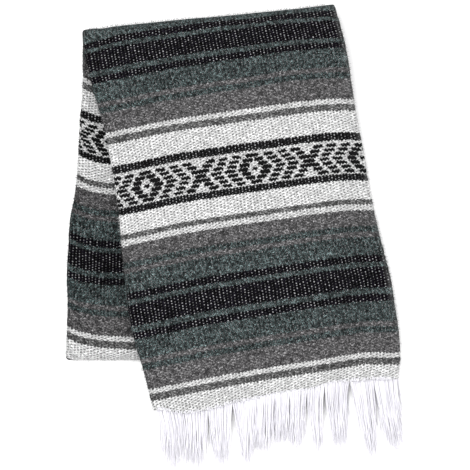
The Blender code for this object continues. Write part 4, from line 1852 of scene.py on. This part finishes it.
@dataclass
class Nap:
    """Loose fibres along the edges of one run, each in the colour of the cloth that it leaves."""

    name: str
    slot: str
    station: Callable[[float], Station]
    fold: Callable[[float], Station]
    span: tuple[float, float]
    outer: float
    fold_outer: float
    edges: tuple[float, ...]
    counts: tuple[int, int, int]
    seed: int
    lengths: tuple[float, float] = (1.0 * MM, 3.6 * MM)
    radii: tuple[float, float] = (0.13 * MM, 0.05 * MM)
    edge_turn: tuple[float, float] = (20.0, 115.0)
    fold_turn: tuple[float, float] = (40.0, 110.0)
    fold_shares: tuple[float, float] = (0.03, 0.97)
    top_shares: tuple[float, float] = (0.04, 0.96)
    bend: float = 0.45
    lie: float = 0.16
    buried: float = 0.3 * MM
    lowest: float = 0.4 * MM
    sides: int = 3
    steps: int = 3
    batch: int = 250
    rng: random.Random = field(default_factory=random.Random)

    def rooted(self, station: Station, column: Column, out: Vector) -> Root:
        """A root at one place of the cloth."""
        place = (column.cloth * MM, station.pattern(column) * MM)
        return Root(settle(RUNS.place(station, column)), out, place)

    def edge_root(self) -> Root:
        """A root on one of the rounded edges of the run."""
        station = self.station(self.rng.uniform(*self.span))
        share = self.rng.choice(self.edges)
        side, radius = inwards(share), edge_radius(share)
        angle = math.radians(self.rng.uniform(*self.edge_turn))
        flat = (STACK.width * share + side * radius * (1.0 - angle)) / MM
        across = side * radius * (1.0 - math.sin(angle))
        column = Column(share, across, self.outer - radius * (1.0 - math.cos(angle)), flat)
        away = (station.left - station.right).normalized() * side * math.sin(angle)
        return self.rooted(station, column, Vector((away.x, away.y, math.cos(angle))))

    def fold_root(self) -> Root:
        """A root on the fold at the end of the run."""
        angle = math.radians(self.rng.uniform(*self.fold_turn))
        station = self.fold(angle)
        share = self.rng.uniform(*self.fold_shares)
        column = Column(share, 0.0, self.fold_outer, STACK.width * share / MM)
        away = station.lean.normalized() * math.sin(angle)
        return self.rooted(station, column, Vector((away.x, away.y, math.cos(angle))))

    def top_root(self) -> Root:
        """A root on the upper side, with a fibre that lies down on it."""
        station = self.station(self.rng.uniform(*self.span))
        share = self.rng.uniform(*self.top_shares)
        column = Column(share, 0.0, self.outer, STACK.width * share / MM)
        heading = self.rng.uniform(0.0, math.tau)
        return self.rooted(station, column, Vector((math.cos(heading), math.sin(heading), self.lie)))

    def course(self, root: Root) -> list[Vector]:
        """Points along one fibre, bent and a little unruly."""
        rng = self.rng
        length = between(*self.lengths, rng.random() ** 2)
        stray = Vector((rng.uniform(-1.0, 1.0), rng.uniform(-1.0, 1.0), rng.uniform(-0.3, 0.3)))
        heading = (root.out + stray * self.bend).normalized()
        curl = Vector((rng.uniform(-1.0, 1.0), rng.uniform(-1.0, 1.0), rng.uniform(-0.4, 0.1))) * self.bend
        points = [root.point - root.out * self.buried]
        for share in spread(0.0, 1.0, self.steps)[1:]:
            point = root.point + (heading + curl * share) * length * share
            point.z = max(point.z, self.lowest)
            points.append(point)
        return points

    def build(self, material: bpy.types.Material) -> bpy.types.Object:
        """Builds the fibres as one joined mesh.

        Args:
            material: The cloth's material.

        Returns:
            The piece.
        """
        self.rng.seed(self.seed)
        makers = (self.edge_root, self.fold_root, self.top_root)
        roots = [maker() for maker, count in zip(makers, self.counts) for _ in range(count)]
        whole = bmesh.new()
        for first in range(0, len(roots), self.batch):
            body = bmesh.new()
            layer = body.loops.layers.uv.new(CLOTH_MAP)
            for root in roots[first : first + self.batch]:
                for vert in draw_strand(body, self.course(root), self.radii, self.sides):
                    for loop in vert.link_loops:
                        loop[layer].uv = root.place
            close_grid(body)
            join(whole, body)
        piece = add_object(self.name, whole, material)
        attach(piece, "root")
        return piece


def front_nap() -> Nap:
    """Fibres on both edges, the top fold and the upper side of the front run."""
    return Nap(
        name="front_nap",
        slot="front_cloth",
        station=RUNS.front,
        fold=RUNS.top_fold,
        span=(STACK.axis_inset, FRONT_LEFT.length - 1.0 * MM),
        outer=STACK.front_outer,
        fold_outer=STACK.front_outer,
        edges=(0.0, 1.0),
        counts=(2600, 900, 2200),
        seed=SEED + 2,
    )


def back_nap() -> Nap:
    """Fibres on the left edge, the bottom fold and the upper side of the back run."""
    return Nap(
        name="back_nap",
        slot="back_cloth",
        station=lambda along: RUNS.back(along, STACK.end_plane, 1.0),
        fold=RUNS.bottom_fold,
        span=(STACK.axis_inset + 6.0 * MM, RUNS.end_axis),
        outer=STACK.end_plane,
        fold_outer=STACK.end_plane,
        edges=(0.0,),
        counts=(1300, 500, 600),
        seed=SEED + 3,
    )


@dataclass(frozen=True)
class Studio:
    """Camera straight above, as in the photo, and soft even light."""

    lens: float = 300.0
    sensor: float = 36.0
    frame_width: float = 587.5 * MM
    aim: tuple[float, float, float] = (-1.05 * MM, -0.6 * MM, 28.0 * MM)
    clip: float = 40.0
    floor_half: float = 8.0
    sky: float = 1.40
    key_power: float = 39.0
    key_place: tuple[float, float, float] = (-0.6, 0.2, 2.75)
    key_size: float = 1.8

    def camera(self) -> None:
        """Adds the camera and makes it the scene's."""
        data = bpy.data.cameras.new("camera")
        data.lens = self.lens
        data.sensor_width = self.sensor
        data.clip_end = self.clip
        camera = bpy.data.objects.new("camera", data)
        distance = self.frame_width * self.lens / self.sensor
        camera.location = Vector(self.aim) + Vector((0.0, 0.0, distance))
        bpy.context.scene.collection.objects.link(camera)
        bpy.context.scene.camera = camera

    def light(self) -> None:
        """Adds a pale sky all round and one broad soft light."""
        world = bpy.data.worlds.new("sky")
        world.use_nodes = True
        background = world.node_tree.nodes["Background"]
        background.inputs["Color"].default_value = grey(1.0)
        background.inputs["Strength"].default_value = self.sky
        bpy.context.scene.world = world
        data = bpy.data.lights.new("key", "AREA")
        data.shape = "DISK"
        data.size = self.key_size
        data.energy = self.key_power
        key = bpy.data.objects.new("key", data)
        key.location = self.key_place
        key.rotation_mode = "QUATERNION"
        key.rotation_quaternion = Vector(self.key_place).to_track_quat("Z", "Y")
        bpy.context.scene.collection.objects.link(key)
        bpy.context.scene.view_settings.view_transform = "Standard"

    def floor(self, finishes: Finishes) -> None:
        """Adds the floor that the serape lies on."""
        plane = bmesh.new()
        bmesh.ops.create_grid(plane, x_segments=1, y_segments=1, size=self.floor_half)
        add_object("floor", plane, finishes.floor(FloorLook()))


def main() -> None:
    """Builds the serape's pieces in order, then the studio."""
    logging.basicConfig(level=logging.INFO, format="%(name)s: %(message)s")
    random.seed(SEED)
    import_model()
    finishes = Finishes()
    yarn = finishes.yarn(YarnLook())
    front_run, back_run = FrontRun(), BackRun()
    front, back = front_run.build(finishes), back_run.build(finishes)
    inner = InnerPlies().build(finishes)
    tassels, under_tassels = front_fringe().build(yarn), lower_fringe().build(yarn)
    fuzz = front_nap().build(front.data.materials[0])
    back_fuzz = back_nap().build(back.data.materials[0])
    front_run.cut
    back_run.cut
    for piece in (front, back, inner, tassels, under_tassels, fuzz, back_fuzz):
        LOG.info("%s: %d faces", piece.name, len(piece.data.polygons))
    for name, cut in (("front", front_run.cut), ("back", back_run.cut)):
        LOG.info("%s cloth cut: %.3f by %.3f m", name, *cut)
    studio = Studio()
    studio.camera()
    studio.light()
    studio.floor(finishes)


if __name__ == "__main__":
    main()
